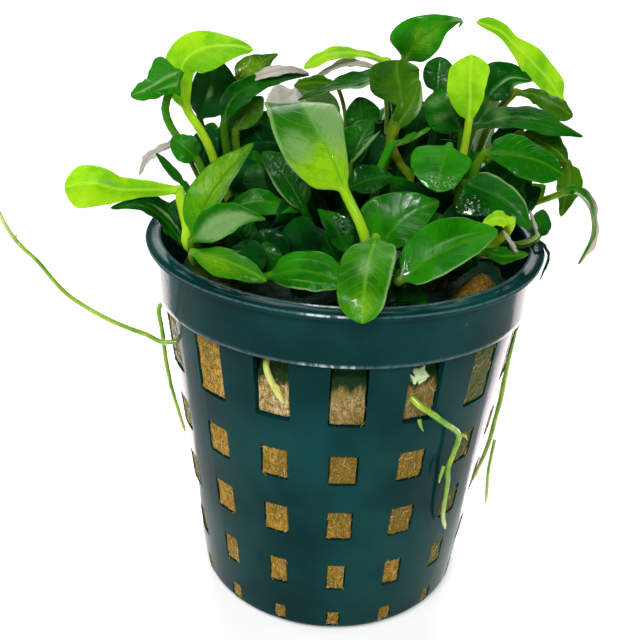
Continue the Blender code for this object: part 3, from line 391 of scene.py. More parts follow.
# Smaller leaves among the others, which have no node of their own
EXTRA_LEAVES = {
    "inner_green_left": Leaf("olive", ("left", 0.66, 20), ((-15.8, 4, 67.4), (-14.1, 5.5, 69.8),
        (-12.4, 7, 71.5)), (1, 1.9, 2.1, 1.8, 0.8), (1, 1.9, 2.1, 1.8, 0.8)),
    "dark_strap_left": Leaf("deep", ("left", 0.4, -60), ((-22.1, -2, 61.2), (-23.8, -2, 63.1),
        (-25.8, -2, 65.4)), (0.4, 0.7, 0.7, 0.5, 0.3), (0.4, 0.6, 0.6, 0.5, 0.3)),
    "dark_low_centre": Leaf("deep", ("centre", 0.3, 50), ((0.3, -9, 64.2), (2.6, -8, 65),
        (5.8, -7, 65.4)), (1.2, 2, 2.1, 1.6, 0.7), (1.2, 2, 2, 1.5, 0.7)),
    "pale_under_centre": Leaf("pale", ("centre", 0.78, 40), ((3.3, 7, 76.3), (-1.1, 6, 76.9),
        (-5.3, 5, 74.9)), (0.3, 0.6, 0.6, 0.5, 0.3), (0.3, 0.6, 0.6, 0.5, 0.3), girth=0.28,
        patches=(("young", -0.5, 0, 0.42, 2, 1),)),
    "olive_small_centre": Leaf("olive", ("centre", 0.66, -40), ((-2.3, 5, 74.2), (-5.1, 4, 74.4),
        (-7.9, 3, 74.1)), (0.6, 1.1, 1.2, 1, 0.5), (0.6, 1, 1.1, 0.9, 0.5), girth=0.28),
    "pale_spindle_right": Leaf("pale", ("right", 0.18, 60), ((21.4, -15, 59), (20.3, -15.5, 60.6),
        (19.2, -16, 62.1)), (0.12, 0.25, 0.27, 0.2, 0.1), (0.12, 0.25, 0.27, 0.2, 0.1), girth=0.28),
    "dark_fill_right_a": Leaf("deep", ("right", 0.45, 50), ((19.1, -3.5, 63.1), (20.8, -3.5, 65.1),
        (22.7, -3.5, 67.4)), (1.6, 2.8, 3, 2.4, 1.1), (1.6, 2.8, 3, 2.4, 1.1)),
    "dark_fill_right_b": Leaf("dark", ("right", 0.5, 70), ((20.7, -3, 59.4), (22.9, -3, 61.3),
        (25.7, -2.5, 63.4)), (1.2, 2, 2.2, 1.7, 0.8), (1.2, 2, 2.2, 1.7, 0.8)),
    "dark_fill_left_a": Leaf("deep", ("left", 0.7, -20), ((-19.5, 6, 62.6), (-19.8, 7, 65),
        (-19.4, 7.5, 67.4)), (1.2, 1.9, 2, 1.6, 0.9), (1.2, 1.9, 2, 1.6, 0.9)),
    "dark_fill_left_b": Leaf("dark", ("left", 0.8, 30), ((-15.9, 8, 63.4), (-15.8, 9, 65.8),
        (-15, 9.5, 68.6)), (1.8, 2.8, 3, 2.5, 1.3), (1.8, 2.8, 3, 2.5, 1.3)),
    "dark_fill_right_c": Leaf("dark", ("centre", 0.95, 60), ((9.1, 6, 66.7), (9.3, 7, 69.3),
        (9.4, 8, 71.9)), (1.3, 2.2, 2.3, 1.9, 1), (1.3, 2.2, 2.3, 1.9, 1)),
    "dark_fill_right_d": Leaf("deep", ("right", 0.8, 0), ((19.3, 2, 67), (21.3, 2, 68.7),
        (23.3, 2, 69.9)), (1, 1.7, 1.8, 1.5, 0.8), (1, 1.7, 1.8, 1.5, 0.8)),
    "dark_fill_centre": Leaf("dark", ("centre", 0.5, 0), ((6.5, -2, 62.6), (6.6, -2, 64.4),
        (6.8, -2, 66.4)), (1, 1.6, 1.8, 1.4, 0.7), (1, 1.6, 1.8, 1.4, 0.7)),
    "dark_fill_left_c": Leaf("dark", ("left", 0.9, 40), ((-20.5, 4, 61.7), (-20.2, 4.5, 64.2),
        (-19.2, 5, 67.5)), (1.2, 2, 2.2, 1.9, 1), (1.2, 2, 2.2, 1.9, 1)),
    "dark_fill_centre_top": Leaf("deep", ("centre", 0.8, 20), ((1.9, 4, 68.3), (1.3, 4.5, 70.5),
        (0.9, 5, 72.6)), (1.1, 2, 2.2, 1.8, 0.9), (1.6, 2.4, 2.6, 2.2, 1.2)),
    "dark_strand_right": Leaf("dark", ("right", 0.3, 60), ((27.2, -3.2, 55.5), (27.9, -3.5, 54),
        (27, -4.2, 50.8)), (0.12, 0.2, 0.2, 0.18, 0.1), (0.12, 0.2, 0.2, 0.18, 0.1),
        stalk=((24.2, -3, 54), (26, -3, 56)), girth=0.24),
    "pale_strip_left": Leaf("pale", ("left", 0.75, -20), ((-14.5, 6, 73.8), (-11.7, 6.5, 74.9),
        (-8.7, 7, 75.4), (-6.1, 7.5, 74.9)), (0.5, 0.8, 0.8, 0.6, 0.3), (0.5, 0.8, 0.8, 0.6, 0.3),
        girth=0.28, patches=(("young", -0.5, 0, 0.42, 2, 1),)),
    "thin_stem_centre": Leaf("mid", ("centre", 0.3, 60), ((0.4, -5, 66.4), (2.1, -5, 68.6),
        (3.8, -5, 70.7)), (0.15, 0.2, 0.2, 0.2, 0.12), (0.15, 0.2, 0.2, 0.2, 0.12), girth=0.28,
        patches=(("sheen", 0.5, 0, 0.6, 2, 0.8),)),
    "lime_behind_right": Leaf("fresh", ("right", 0.55, 60), ((24.6, 1, 60.3), (25.7, 1, 61.5),
        (27, 1, 62.7)), (0.8, 1.3, 1.4, 1.1, 0.5), (0.8, 1.3, 1.4, 1.1, 0.5), girth=0.28,
        patches=(("young", 0.4, 0, 0.3, 0.8, 0.8),)),
    "pale_curl_right": Leaf("pale", ("right", 0.4, 60), ((24.7, -10, 59.5), (24, -10, 61.2),
        (23.2, -10, 62.8)), (0.1, 0.18, 0.2, 0.16, 0.1), (0.1, 0.18, 0.2, 0.16, 0.1), girth=0.28,
        patches=(("young", -0.5, 0, 0.42, 2, 1),)),
}

STATIONS = np.array((0.1, 0.3, 0.5, 0.7, 0.9))
BLADE_THICKNESS = 0.34
LEAF_STEP = 0.1
STALK_RINGS = 22
BLADE_RINGS = 44
HALF_AROUND = 22
FILL_COARSE = 2
STALK_PULL = 0.35
STALK_GAP = 0.6
STALK_SINK = 0.35
HEEL_BLEND = 0.12
VEINS = 9.0
VEIN_SLANT = 0.22
VEIN_CURVE = 1.15
QUILT = 0.02
GROOVE_DEPTH, GROOVE_WIDTH = 0.13, 0.28
RIDGE_DEPTH, RIDGE_LEAST, RIDGE_WIDTH = 0.42, 0.08, 0.4
# The stalk is thicker at its foot, by this share and over this length
FLARE, FLARE_LENGTH = 0.55, 1.5
PATCH_KINDS = ("sheen", "deep", "young", "dry", "wet")
SHEEN = (0.19, 0.35, 0.11)
YOUNG = (0.30, 0.58, 0.008)
DRY = (0.50, 0.40, 0.33)
STALK_FOOT = (0.17, 0.12, 0.03)

# Colours of each leaf tone, how much light goes through it, roughness and darkness at the rim
Tone = namedtuple("Tone", "dark light under rib stalk glow rough rim", defaults=(0.6,))
TONES = {
    "lime": Tone((0.13, 0.43, 0.003), (0.35, 0.66, 0.009), (0.40, 0.66, 0.04),
                 (0.38, 0.68, 0.025), (0.34, 0.52, 0.012), 0.25, 0.32, 0.3),
    "fresh": Tone((0.012, 0.12, 0.002), (0.038, 0.21, 0.003), (0.22, 0.42, 0.05),
                  (0.10, 0.33, 0.008), (0.24, 0.38, 0.012), 0.12, 0.18),
    "mid": Tone((0.005, 0.10, 0.001), (0.018, 0.215, 0.002), (0.16, 0.30, 0.04),
                (0.04, 0.20, 0.004), (0.09, 0.20, 0.005), 0.08, 0.18),
    "deep": Tone((0.001, 0.042, 0.002), (0.006, 0.112, 0.002), (0.10, 0.19, 0.05),
                 (0.015, 0.12, 0.004), (0.035, 0.11, 0.004), 0.05, 0.16),
    "dark": Tone((0.001, 0.022, 0.005), (0.003, 0.062, 0.007), (0.06, 0.13, 0.04),
                 (0.006, 0.07, 0.005), (0.010, 0.055, 0.005), 0.04, 0.15),
    "olive": Tone((0.010, 0.07, 0.001), (0.045, 0.16, 0.002), (0.22, 0.30, 0.05),
                  (0.08, 0.20, 0.008), (0.15, 0.20, 0.008), 0.08, 0.2),
    # pale: pinkish grey for pale undersides and thin pale bits, and on some whole leaves a painted
    # reflection of the bright room in place of their green
    "pale": Tone((0.32, 0.31, 0.28), (0.58, 0.53, 0.49), (0.58, 0.53, 0.49),
                 (0.35, 0.36, 0.22), (0.06, 0.14, 0.01), 0.10, 0.3),
}

# Dark leaves that fill the middle: the plug is hidden behind them from every side.
# Rows run from front to back: depth, heel height, blade length and width.
FILL_ROWS = ((-17.5, 53, 3.5, 4), (-14.5, 54, 4, 5), (-11, 55, 5, 5.5), (-7, 56.5, 6, 6.5),
             (-3, 58, 7, 7), (1.5, 59.5, 8, 7.5), (6, 61, 8, 7.5), (10.5, 61.5, 8, 7.5),
             (14.5, 60, 7.5, 7))
FILL_COLUMNS = (-18.5, -13.5, -9, -4.5, 0, 4.5, 9, 14, 19)
FILL_REACH = 21.0
FILL_SHIFT = (1.8, 1.2, 1.2)
# Random lean of the tip to the side and in depth, turn of the foot and of the face, tilt of
# the face, and share of the width
FILL_SIDE, FILL_DEPTH, FILL_FOOT = (-0.6, 0.6), (-0.3, 0.3), (-50, 50)
FILL_TURN, FILL_TILT, FILL_WIDTH = (-45, 45), (15, 45), (0.85, 1.2)
# No fill leaf stands left of this and behind this
FILL_CLEAR = (-15.5, -6.0)

# Stage
PLANT_MIDDLE = (0.0, 0.0, 0.06)
CAMERA_PLACE = (0.0, -0.13116, 0.10419)
CAMERA_PAN = math.radians(-1.284)
CAMERA_TILT = math.radians(25.73)
CAMERA_ROLL = math.radians(2.52)
LENS = 56.25
SENSOR = 36.0
CAMERA_RANGE = (0.005, 10.0)
WORLD_DIM = 0.04
WORLD_BRIGHT = 0.14
WORLD_OVERHEAD = 0.6
WORLD_SEEN = 1.05
FLOOR_HALF = 3.0
FLOOR_COLOR = (0.9, 0.9, 0.9)
WHITE = (1.0, 1.0, 1.0)
# The floor turns plain white between these distances
FLOOR_NEAR, FLOOR_FAR = 0.3, 0.6
GLOW_POWER = 0.33
GLOW_SIZE = 0.16
GLOW_FOOT = (0.014, -0.002)
GLOW_TURNS = (math.radians(30), math.radians(50))
GLOW_COLOR = (1.0, 0.87, 0.88)


class Wire:
    """A node's output. Sums and products of wires and numbers add nodes."""

    def __init__(self, graph, socket):
        self.graph = graph
        self.socket = socket

    def __add__(self, other):
        return self.graph.math("ADD", self, other)

    def __sub__(self, other):
        return self.graph.math("SUBTRACT", self, other)

    def __mul__(self, other):
        return self.graph.math("MULTIPLY", self, other)


class Graph:
    """The node tree of a new material or world."""

    def __init__(self, owner):
        self.owner = owner
        owner.use_nodes = True
        self.tree = owner.node_tree

    def fill(self, item, inputs):
        """Gives a node's inputs, by name or number, their wires and plain values."""
        for key, value in inputs.items():
            socket = item.inputs[key]
            if isinstance(value, Wire):
                self.tree.links.new(value.socket, socket)
            else:
                socket.default_value = (*value, 1.0) if socket.type == "RGBA" else value

    def node(self, kind, inputs, out=0, **settings):
        """One output of a new node."""
        item = self.tree.nodes.new("ShaderNode" + kind)
        for key, value in settings.items():
            setattr(item, key, value)
        self.fill(item, inputs)
        return Wire(self, item.outputs[out])

    def principled(self, **values):
        """Fills the shader's inputs and gives the material."""
        shader = self.tree.nodes["Principled BSDF"]
        self.fill(shader, {key.replace("_", " "): value for key, value in values.items()})
        return self.owner

    def math(self, operation, *values):
        return self.node("Math", dict(enumerate(values)), operation=operation)

    def mix(self, share, a, b):
        return self.node("Mix", {0: share, 6: a, 7: b}, 2, data_type="RGBA")

    def step(self, value, low, high, out_low=0.0, out_high=1.0, shape="SMOOTHSTEP"):
        """A step of value from low to high."""
        inputs = dict(enumerate((value, low, high, out_low, out_high)))
        return self.node("MapRange", inputs, interpolation_type=shape)

    def value(self, name):
        return self.node("Attribute", {}, "Fac", attribute_name=name)

    def place(self):
        return self.node("TexCoord", {}, "Object")

    def axes(self, vector):
        return [self.node("SeparateXYZ", {0: vector}, axis) for axis in range(3)]

    def distance(self, vector, place):
        return self.node("VectorMath", {0: vector, 1: place}, "Value", operation="DISTANCE")

    def stretch(self, vector, scale):
        return self.node("Mapping", {"Vector": vector, "Scale": scale})

    def noise(self, vector, scale, detail=3.0, rough=0.55, warp=0.0):
        return self.node("TexNoise", {"Vector": vector, "Scale": scale, "Detail": detail,
                                      "Roughness": rough, "Distortion": warp}, "Fac")

    def cells(self, vector, scale):
        return self.node("TexVoronoi", {"Vector": vector, "Scale": scale}, "Distance")

    def bump(self, height, distance):
        return self.node("Bump", {"Height": height, "Distance": distance, "Strength": 1.0})


def value_noise(points, size, seed):
    """Smooth noise from -1 to 1 at points, with features of the given size."""
    table = np.random.default_rng(seed).uniform(-1, 1, (NOISE_CELLS,) * 3)
    q = np.asarray(points) / size + NOISE_SHIFT
    base = np.floor(q).astype(int)
    part = q - base
    part = part * part * (3 - 2 * part)
    total = 0.0
    for corner in range(8):
        pick = np.array([corner & 1, corner >> 1 & 1, corner >> 2 & 1])
        index = (base + pick) % NOISE_CELLS
        weight = np.prod(np.where(pick, part, 1 - part), axis=-1)
        total = total + weight * table[index[..., 0], index[..., 1], index[..., 2]]
    return total


def layered_noise(points, size, seed, octaves=3):
    layers = [value_noise(points, size / 2 ** k, seed + k) / 2 ** k for k in range(octaves)]
    return sum(layers) / 1.5


def mesh_object(name, verts, faces, finish, values=None, sharp=None):
    """A mesh object from points in millimetres, with one float attribute for each of values."""
    mesh = bpy.data.meshes.new(name)
    mesh.from_pydata((np.asarray(verts) * MM).tolist(), [], faces)
    mesh.update()
    for key, numbers in (values or {}).items():
        layer = mesh.attributes.new(key, "FLOAT", "POINT")
        layer.data.foreach_set("value", np.asarray(numbers, np.float32).ravel())
    mesh.materials.append(finish)
    mesh.shade_smooth()
    if sharp:
        mesh.set_sharp_from_angle(angle=math.radians(sharp))
    item = bpy.data.objects.new(name, mesh)
    bpy.context.scene.collection.objects.link(item)
    return item


def dress(item, slot, *nodes):
    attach(item, "root")
    if nodes:
        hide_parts(*nodes)


def ring_faces(rings, around, first=0):
    """Quads between rings of points that follow each other, with the two ends closed."""
    faces = []
    for i in range(rings - 1):
        for k in range(around):
            n = (k + 1) % around
            a = first + i * around
            faces.append((a + k, a + n, a + around + n, a + around + k))
    faces.append(tuple(first + around - 1 - k for k in range(around)))
    faces.append(tuple(first + (rings - 1) * around + k for k in range(around)))
    return faces


def unit(v):
    v = np.asarray(v, float)
    return v / np.linalg.norm(v, axis=-1, keepdims=True)


def smooth_route(points, spacing):
    """A Catmull-Rom curve through the given points, read at even steps."""
    knots = np.asarray(points, float)
    knots = np.vstack((2 * knots[0] - knots[1], knots, 2 * knots[-1] - knots[-2]))
    route = []
    for i in range(1, len(knots) - 2):
        a, b, c, d = knots[i - 1:i + 3]
        steps = max(2, round(float(np.linalg.norm(c - b)) / spacing))
        for t in np.arange(steps) / steps:
            route.append(0.5 * (2 * b + (c - a) * t + (2 * a - 5 * b + 4 * c - d) * t * t
                                + (3 * b - a - 3 * c + d) * t ** 3))
    route.append(knots[-2])
    return np.array(route)


def distances(route):
    """How far along a route each of its points is."""
    return np.concatenate(([0], np.cumsum(np.linalg.norm(np.diff(route, axis=0), axis=1))))


def along_route(route, shares):
    """Places at shares of a route's length."""
    gone = distances(route)
    return np.stack([np.interp(shares * gone[-1], gone, route[:, k]) for k in range(3)], -1)


def tube(route, radii, around, first_up=(0.1, 0.3, 1.0)):
    """Points of a round tube along a route, rings first. It turns as little as possible."""
    tangents = unit(np.gradient(route, axis=0))
    up = np.asarray(first_up, float)
    ups = []
    for tangent in tangents:
        up = unit(up - up @ tangent * tangent)
        ups.append(up)
    ups = np.array(ups)
    sides = np.cross(tangents, ups)
    angle = np.arange(around) * math.tau / around
    radii = np.asarray(radii, float)[:, None]
    return (route[:, None] + sides[:, None] * (np.cos(angle) * radii)[..., None]
            + ups[:, None] * (np.sin(angle) * radii)[..., None])


def from_front(radius, angle, height):
    """Places round the pot's axis, at angles from the front towards +X."""
    return np.stack((radius * np.sin(angle), -radius * np.cos(angle), height), -1)


# Net pot

def wall_radius(z):
    return BODY_FOOT_RADIUS + (BODY_TOP_RADIUS - BODY_FOOT_RADIUS) * z / COLLAR_FOOT_Z


def window_half_angle(z):
    heights = [edge for row in WINDOW_ROWS for edge in row[:2]]
    angles = [half / wall_radius(edge) for *edges, half in WINDOW_ROWS for edge in edges]
    return float(np.interp(z, heights, angles))


def window_edge(z):
    """1 at a window's lower edge, -1 at its upper edge, and 0 elsewhere."""
    for low, high, _ in WINDOW_ROWS:
        if z in (low, high):
            return 1 if z == low else -1
    return 0


def pot_levels():
    """The outside, rim and inside of the pot's wall, as rings of (radius, height, kind)."""
    outer = [(SLOT_INNER_RADIUS, 0, "slot"), (SLOT_OUTER_RADIUS, 0), *FOOT_CURVE]
    inner = [(SLOT_INNER_RADIUS, FLOOR, "slot"), (SLOT_OUTER_RADIUS, FLOOR), *FLOOR_CURVE]
    for low, high, _ in WINDOW_ROWS:
        inset = min(WINDOW_INSET, INSET_SHARE * (high - low))
        for z in (low, low + inset, (low + high) / 2, high - inset, high):
            kind = "window" if z < high else ""
            outer.append((wall_radius(z), z, kind))
            inner.append((wall_radius(z) - WALL, max(z, FLOOR + FLOOR_CORNER), kind))
    return [[(*ring, "")[:3] for ring in part] for part in (outer, RIM_CURVE, inner)]


def pot_ring(radius, z):
    """Points round the pot at one level. Those at a window's corners are drawn in a little."""
    half = window_half_angle(z)
    across = np.array(WINDOW_PARTS) * 2 * half - half
    bar = half + (PITCH - 2 * half) * np.arange(BAR_PARTS) / BAR_PARTS
    offsets = np.concatenate((across, bar))
    heights = np.full(len(offsets), float(z))
    edge = window_edge(z)
    if edge:
        corners = [0, len(WINDOW_PARTS)]
        offsets[corners] += np.array((1, -1)) * CORNER_PULL / radius
        heights[corners] += edge * CORNER_PULL
    angles = FIRST_COLUMN_TURN + np.arange(COLUMNS)[:, None] * PITCH + offsets
    return from_front(radius, angles.ravel(), np.tile(heights, COLUMNS))


def pot_mesh():
    outer, rim, inner = pot_levels()
    rings = outer + rim + inner[::-1]
    per_column = len(WINDOW_PARTS) + BAR_PARTS
    around = per_column * COLUMNS
    verts = np.concatenate([pot_ring(radius, z) for radius, z, _ in rings])
    last = len(rings) - 1

    def hole(i, k):
        """Whether the cell above ring i, at k round, is open."""
        column, part = divmod(k, per_column)
        kind = rings[i][2] if 0 <= i < len(outer) and part < len(WINDOW_PARTS) else ""
        return kind == "window" or (kind == "slot" and column % 2 == 0)

    faces = []
    for i in range(last):
        mirrored = i >= len(outer) + len(rim)
        level = last - i - 1 if mirrored else i
        low, high = i * around, (i + 1) * around
        for k in range(around):
            n = (k + 1) % around
            if not hole(level, k):
                faces.append((low + k, low + n, high + n, high + k))
    for i in range(len(outer)):
        here, there = i * around, (last - i) * around
        up, over = here + around, there - around
        for k in range(around):
            n = (k + 1) % around
            if not hole(i, k):
                continue
            if not hole(i - 1, k):
                faces.append((here + n, here + k, there + k, there + n))
            if not hole(i + 1, k):
                faces.append((up + k, up + n, over + n, over + k))
            if not hole(i, (k - 1) % around):
                faces.append((here + k, up + k, over + k, there + k))
            if not hole(i, n):
                faces.append((up + n, here + n, there + n, over + n))
    faces.append(tuple(range(around - 1, -1, -1)))
    faces.append(tuple(last * around + k for k in range(around)))
    edge = np.repeat([float(kind == "line") for _, _, kind in rings], around)
    return verts, faces, {"edge": edge}


def pot_finish():
    g = Graph(bpy.data.materials.new("pot_plastic"))
    at = g.place()
    x, y, _ = g.axes(at)
    broad = g.noise(at, 60.0)
    fine = g.noise(at, 1500.0, 4.0, 0.65)
    drawn = g.noise(g.stretch(at, (1.0, 1.0, 0.08)), 900.0)
    specks = g.step(g.cells(at, 420.0), 0.0, 0.12, 1.0, 0.0)
    marks = specks * g.step(g.noise(at, 130.0, 2.0), 0.62, 0.7)
    # Painted highlight along the rim's edges, and at the front a white painted glint on it
    edge_highlight = g.step(g.value("edge"), 0.35, 1.0) * g.step(fine, 0.3, 0.6, 0.3, 0.9)
    shiny = g.step(x, *SHINE_LEFT) * g.step(x, *SHINE_RIGHT) * g.step(y, *SHINE_FRONT)
    color = g.mix(g.step(broad, 0.35, 0.7), POT_DARK, POT_LIGHT)
    color = g.mix(marks * 0.35, color, POT_MARK)
    color = g.mix(edge_highlight * 0.55, color, POT_EDGE_HIGHLIGHT)
    color = g.mix(shiny * edge_highlight * g.step(drawn, 0.4, 0.55), color, POT_SHINE)
    rough = g.step(broad, 0.3, 0.75, 0.05, 0.13) + drawn * 0.05
    height = fine * 0.35 + drawn * 0.4 + broad * 3.0 + marks * 1.5
    return g.principled(Base_Color=color, Roughness=rough, Normal=g.bump(height, 0.00004),
                        Specular_IOR_Level=0.05, IOR=1.46)


def make_pot():
    verts, faces, values = pot_mesh()
    pot = mesh_object("pot", verts, faces, pot_finish(), values, POT_SHARP)
    bevel = pot.modifiers.new("soft_edges", "BEVEL")
    bevel.width = SOFT_EDGE * MM
    bevel.segments = 2
    bevel.limit_method = "ANGLE"
    bevel.angle_limit = math.radians(POT_SHARP)
    bevel.harden_normals = False
    dress(pot, "pot_plastic", "net_pot")


# Rockwool

def plug_top(x, y):
    """The height of the plug's top: lower towards the front edge, with a lump."""
    reach = np.hypot(x, y) / PLUG_TOP_RADIUS
    front = 0.5 - 0.5 * y / PLUG_TOP_RADIUS
    aside_x, aside_y = np.array(LUMP_PLACE) / math.hypot(*LUMP_PLACE)
    away_x, away_y = x - LUMP_PLACE[0], y - LUMP_PLACE[1]
    outward = away_x * aside_x + away_y * aside_y
    along = (away_y * aside_x - away_x * aside_y) / LUMP_STRETCH
    lump = np.hypot(outward, along) / LUMP_SPREAD
    drop = PLUG_EDGE_DROP * front ** 2.2 * reach ** 4
    return PLUG_MIDDLE_Z - drop + LUMP_HEIGHT * np.exp(-lump * lump)


def side_shadow(g, x, y, z):
    """The darker wool in the windows at both sides of the front."""
    angle = g.math("ARCTAN2", x, y * -1.0)
    sides = g.math("MAXIMUM", g.step(angle, *SHADOW_RIGHT), g.step(angle, *SHADOW_LEFT))
    sides = sides * g.step(g.math("ABSOLUTE", angle), *SHADOW_END)
    return sides * g.step(z, *SHADOW_TOP, 0.0, 0.72)


def overgrown_and_shaded(g, at, color, cover):
    """The wool's colour with dark green growth and painted shade over its top and high in the front
    windows, but not on the lump."""
    x, y, z = g.axes(at)
    ragged = g.noise(g.stretch(at, (1.0, 1.0, 0.4)), 900.0, 3.0, 0.6, 0.5)
    height = z + (ragged - 0.5) * 0.0035
    front = g.step(g.math("ABSOLUTE", x), *SHADED_GROWTH_SIDES) * g.step(height, *SHADED_GROWTH_FOOT)
    from_axis = g.math("SQRT", x * x + y * y)
    top = g.step(from_axis, *TOP_SHADED_GROWTH_RADIUS) * g.step(z, *TOP_SHADED_GROWTH_FOOT)
    green = g.mix(top, *GROWTH_AND_SHADE_COLORS)
    off_lump = g.step(g.distance(at, LUMP_CENTRE), *LUMP_REACH)
    return g.mix(g.math("MAXIMUM", front, top) * off_lump * cover, color, green)


def rockwool_finish():
    g = Graph(bpy.data.materials.new("rockwool"))
    at = g.place()
    x, y, z = g.axes(at)
    broad = g.noise(at, 200.0, 3.0, 0.6, 0.4)
    clump = g.noise(at, 750.0, 3.0, 0.6, 0.8)
    region = g.noise(at, 85.0, 2.0)
    down = g.noise(g.stretch(at, (1.0, 1.0, 0.22)), 3600.0, 4.0, 0.65, 0.5)
    over = g.noise(g.stretch(at, (0.35, 0.35, 1.0)), 3000.0, 4.0, 0.65, 0.8)
    fibre = down * 0.6 + over * 0.4
    color = g.mix(g.step(fibre, 0.36, 0.62), *WOOL_COLORS)
    color = g.mix(g.step(broad, 0.42, 0.3, 0.0, 0.75), color, PATCHY_COLOR)
    washed = g.step(z, *WASHED_FOOT) * g.step(broad, 0.35, 0.5, 0.2, 0.85)
    washed = washed * g.step(g.math("ABSOLUTE", x), *WASHED_SIDES) * g.step(z, *WASHED_TOP)
    color = g.mix(washed, color, g.mix(g.step(fibre, 0.38, 0.6), *WASHED_COLORS))
    color = g.mix(g.step(clump, 0.47, 0.36, 0.0, 0.7), color, CLUMP_COLOR)
    # Darker wool towards the right, stronger higher up
    right_darkening = g.step(x, *RIGHT_DARKENING_X) * g.step(z, *RIGHT_DARKENING_HEIGHT, 0.2, 0.62)
    color = g.mix(right_darkening, color, RIGHT_DARKENING_COLOR)
    color = g.mix(g.step(region, 0.5, 0.38, 0.0, 0.55), color, REGION_COLOR)
    sparkle = g.step(g.noise(at, 6500.0, 2.0), 0.6, 0.68)
    color = g.mix(sparkle * 0.55, color, SPARKLE_COLOR)
    color = g.mix(side_shadow(g, x, y, z), color, SHADOW_COLOR)
    # Dark growth and painted shade on the top and high in the front windows
    color = overgrown_and_shaded(g, at, color, 0.97)
    near_shoot = g.distance(at, SHOOT_PLACE) + (clump - 0.5) * 0.003
    color = g.mix(g.step(near_shoot, *SHOOT_REACH, 0.0, 0.95), color, SHOOT_COLOR)
    return g.principled(Base_Color=color, Roughness=g.step(fibre, 0.35, 0.6, 0.65, 0.3),
                        Normal=g.bump(fibre * 1.5 + broad * 1.2, 0.00014),
                        Specular_IOR_Level=0.03)


def plug_points():
    """The plug's surface: up the side, over the edge and in to the middle of its top."""
    angle = np.arange(PLUG_AROUND) * math.tau / PLUG_AROUND
    edge = np.stack((np.cos(angle), np.sin(angle)), -1)

    def ring(radius, z):
        height = np.broadcast_to(z, PLUG_AROUND)[:, None]
        return np.hstack((np.reshape(radius, (-1, 1)) * edge, height))

    bottom = FLOOR + 0.3
    side = np.arange(bottom, PLUG_SIDE_TOP, PLUG_SIDE_STEP)
    taper = PLUG_FOOT_TAPER * np.clip(bottom + 1 - side, 0, None)
    rows = [ring(wall_radius(z) - WALL - PLUG_GAP - less, z) for z, less in zip(side, taper)]
    rim_z = plug_top(*(PLUG_RIM_RADIUS * edge).T)
    for s in np.linspace(0.1, 1.0, 10):
        z = side[-1] + (rim_z - side[-1]) * s
        radius = np.minimum(wall_radius(z) - WALL - PLUG_GAP, PLUG_RIM_RADIUS + 0.3 * (1 - s))
        rows.append(ring(radius, z))
    for radius in (*np.arange(PLUG_RIM_RADIUS - 0.5, 4.0, -PLUG_TOP_STEP), 3.0, 1.8, 0.8):
        rows.append(ring(radius, plug_top(*(radius * edge).T)))
    return np.array(rows)


def pad_grid(low, high, depth, turn, shaded):
    """One pad's front, a cushion whose edges sink into the plug. A shaded one also sinks in
    towards its top."""
    share = np.sin(np.linspace(-0.5, 0.5, PAD_POINTS) * math.pi)
    u, v = np.meshgrid(share, share)
    height = (low + high) / 2 + v * ((high - low) / 2 - PAD_SIDE_GAP)
    wall = wall_radius(height)
    angle = turn + u * (np.vectorize(window_half_angle)(height) - PAD_SIDE_GAP / wall)
    swell = ((1 - u ** PAD_SQUARENESS) * (1 - v ** PAD_SQUARENESS)) ** 0.5
    foot = WALL + PLUG_GAP + 0.3
    if shaded:
        depth = np.interp(height, (SUNK_FROM, SUNK_TO), (depth, SUNK_DEPTH))
    return from_front(wall - foot + (foot - depth) * swell, angle, height)


def wool_rise(points, lumps, pits):
    """How far the rough wool stands out at each point."""
    rise = sum(height * layered_noise(points, size, seed) for height, size, seed in lumps)
    depth, size, seed, level = pits
    return rise + depth * np.minimum(0, layered_noise(points, size, seed) + level)


def make_pads():
    """Each pad's points and outward directions, roughened."""
    pads = []
    for low, high, _ in WINDOW_ROWS:
        top_row = high == WINDOW_ROWS[-1][1]
        for column in range(COLUMNS):
            rooted = top_row and column in ROOT_COLUMNS
            grid = pad_grid(low, high, ROOT_PAD_DEPTH if rooted else PAD_DEPTH,
                            FIRST_COLUMN_TURN + column * PITCH,
                            top_row and column in SHADED_COLUMNS)
            normal = unit(np.cross(np.gradient(grid, axis=1), np.gradient(grid, axis=0)) + 1e-9)
            rise = wool_rise(grid, PAD_LUMPS, PAD_PITS) - PAD_SINK
            pads.append((grid + normal * rise[..., None], normal))
    return pads


def make_rockwool():
    """The plug with its pads. Gives the places where loose fibres may lie."""
    grid = plug_points()
    along = np.roll(grid, -1, axis=1) - np.roll(grid, 1, axis=1)
    below = np.roll(grid, 1, axis=0)
    below[0] = grid[0]
    climb = np.roll(grid, -1, axis=0) - below
    climb[-1] = grid[-1] - grid[-2]
    normal = unit(np.cross(along, climb))
    top = grid + normal * wool_rise(grid, PLUG_LUMPS, PLUG_PITS)[..., None]
    verts = [top.reshape(-1, 3)]
    faces = ring_faces(len(grid), PLUG_AROUND)
    pads = make_pads()
    count = len(verts[0])
    corner = np.arange(PAD_POINTS ** 2).reshape(PAD_POINTS, PAD_POINTS)
    cells = np.stack((corner[:-1, :-1], corner[:-1, 1:], corner[1:, 1:], corner[1:, :-1]), -1)
    edge = np.concatenate((corner[0, :-1], corner[:-1, -1], corner[-1, :0:-1], corner[:0:-1, 0]))
    for points, _ in pads:
        faces += [tuple(cell) for cell in (cells.reshape(-1, 4) + count).tolist()]
        faces.append(tuple((edge[::-1] + count).tolist()))
        verts.append(points.reshape(-1, 3))
        count += PAD_POINTS ** 2
    plug = mesh_object("rockwool_plug", np.concatenate(verts), faces, rockwool_finish())
    dress(plug, "rockwool", "rockwool")
    return (top, normal), pads


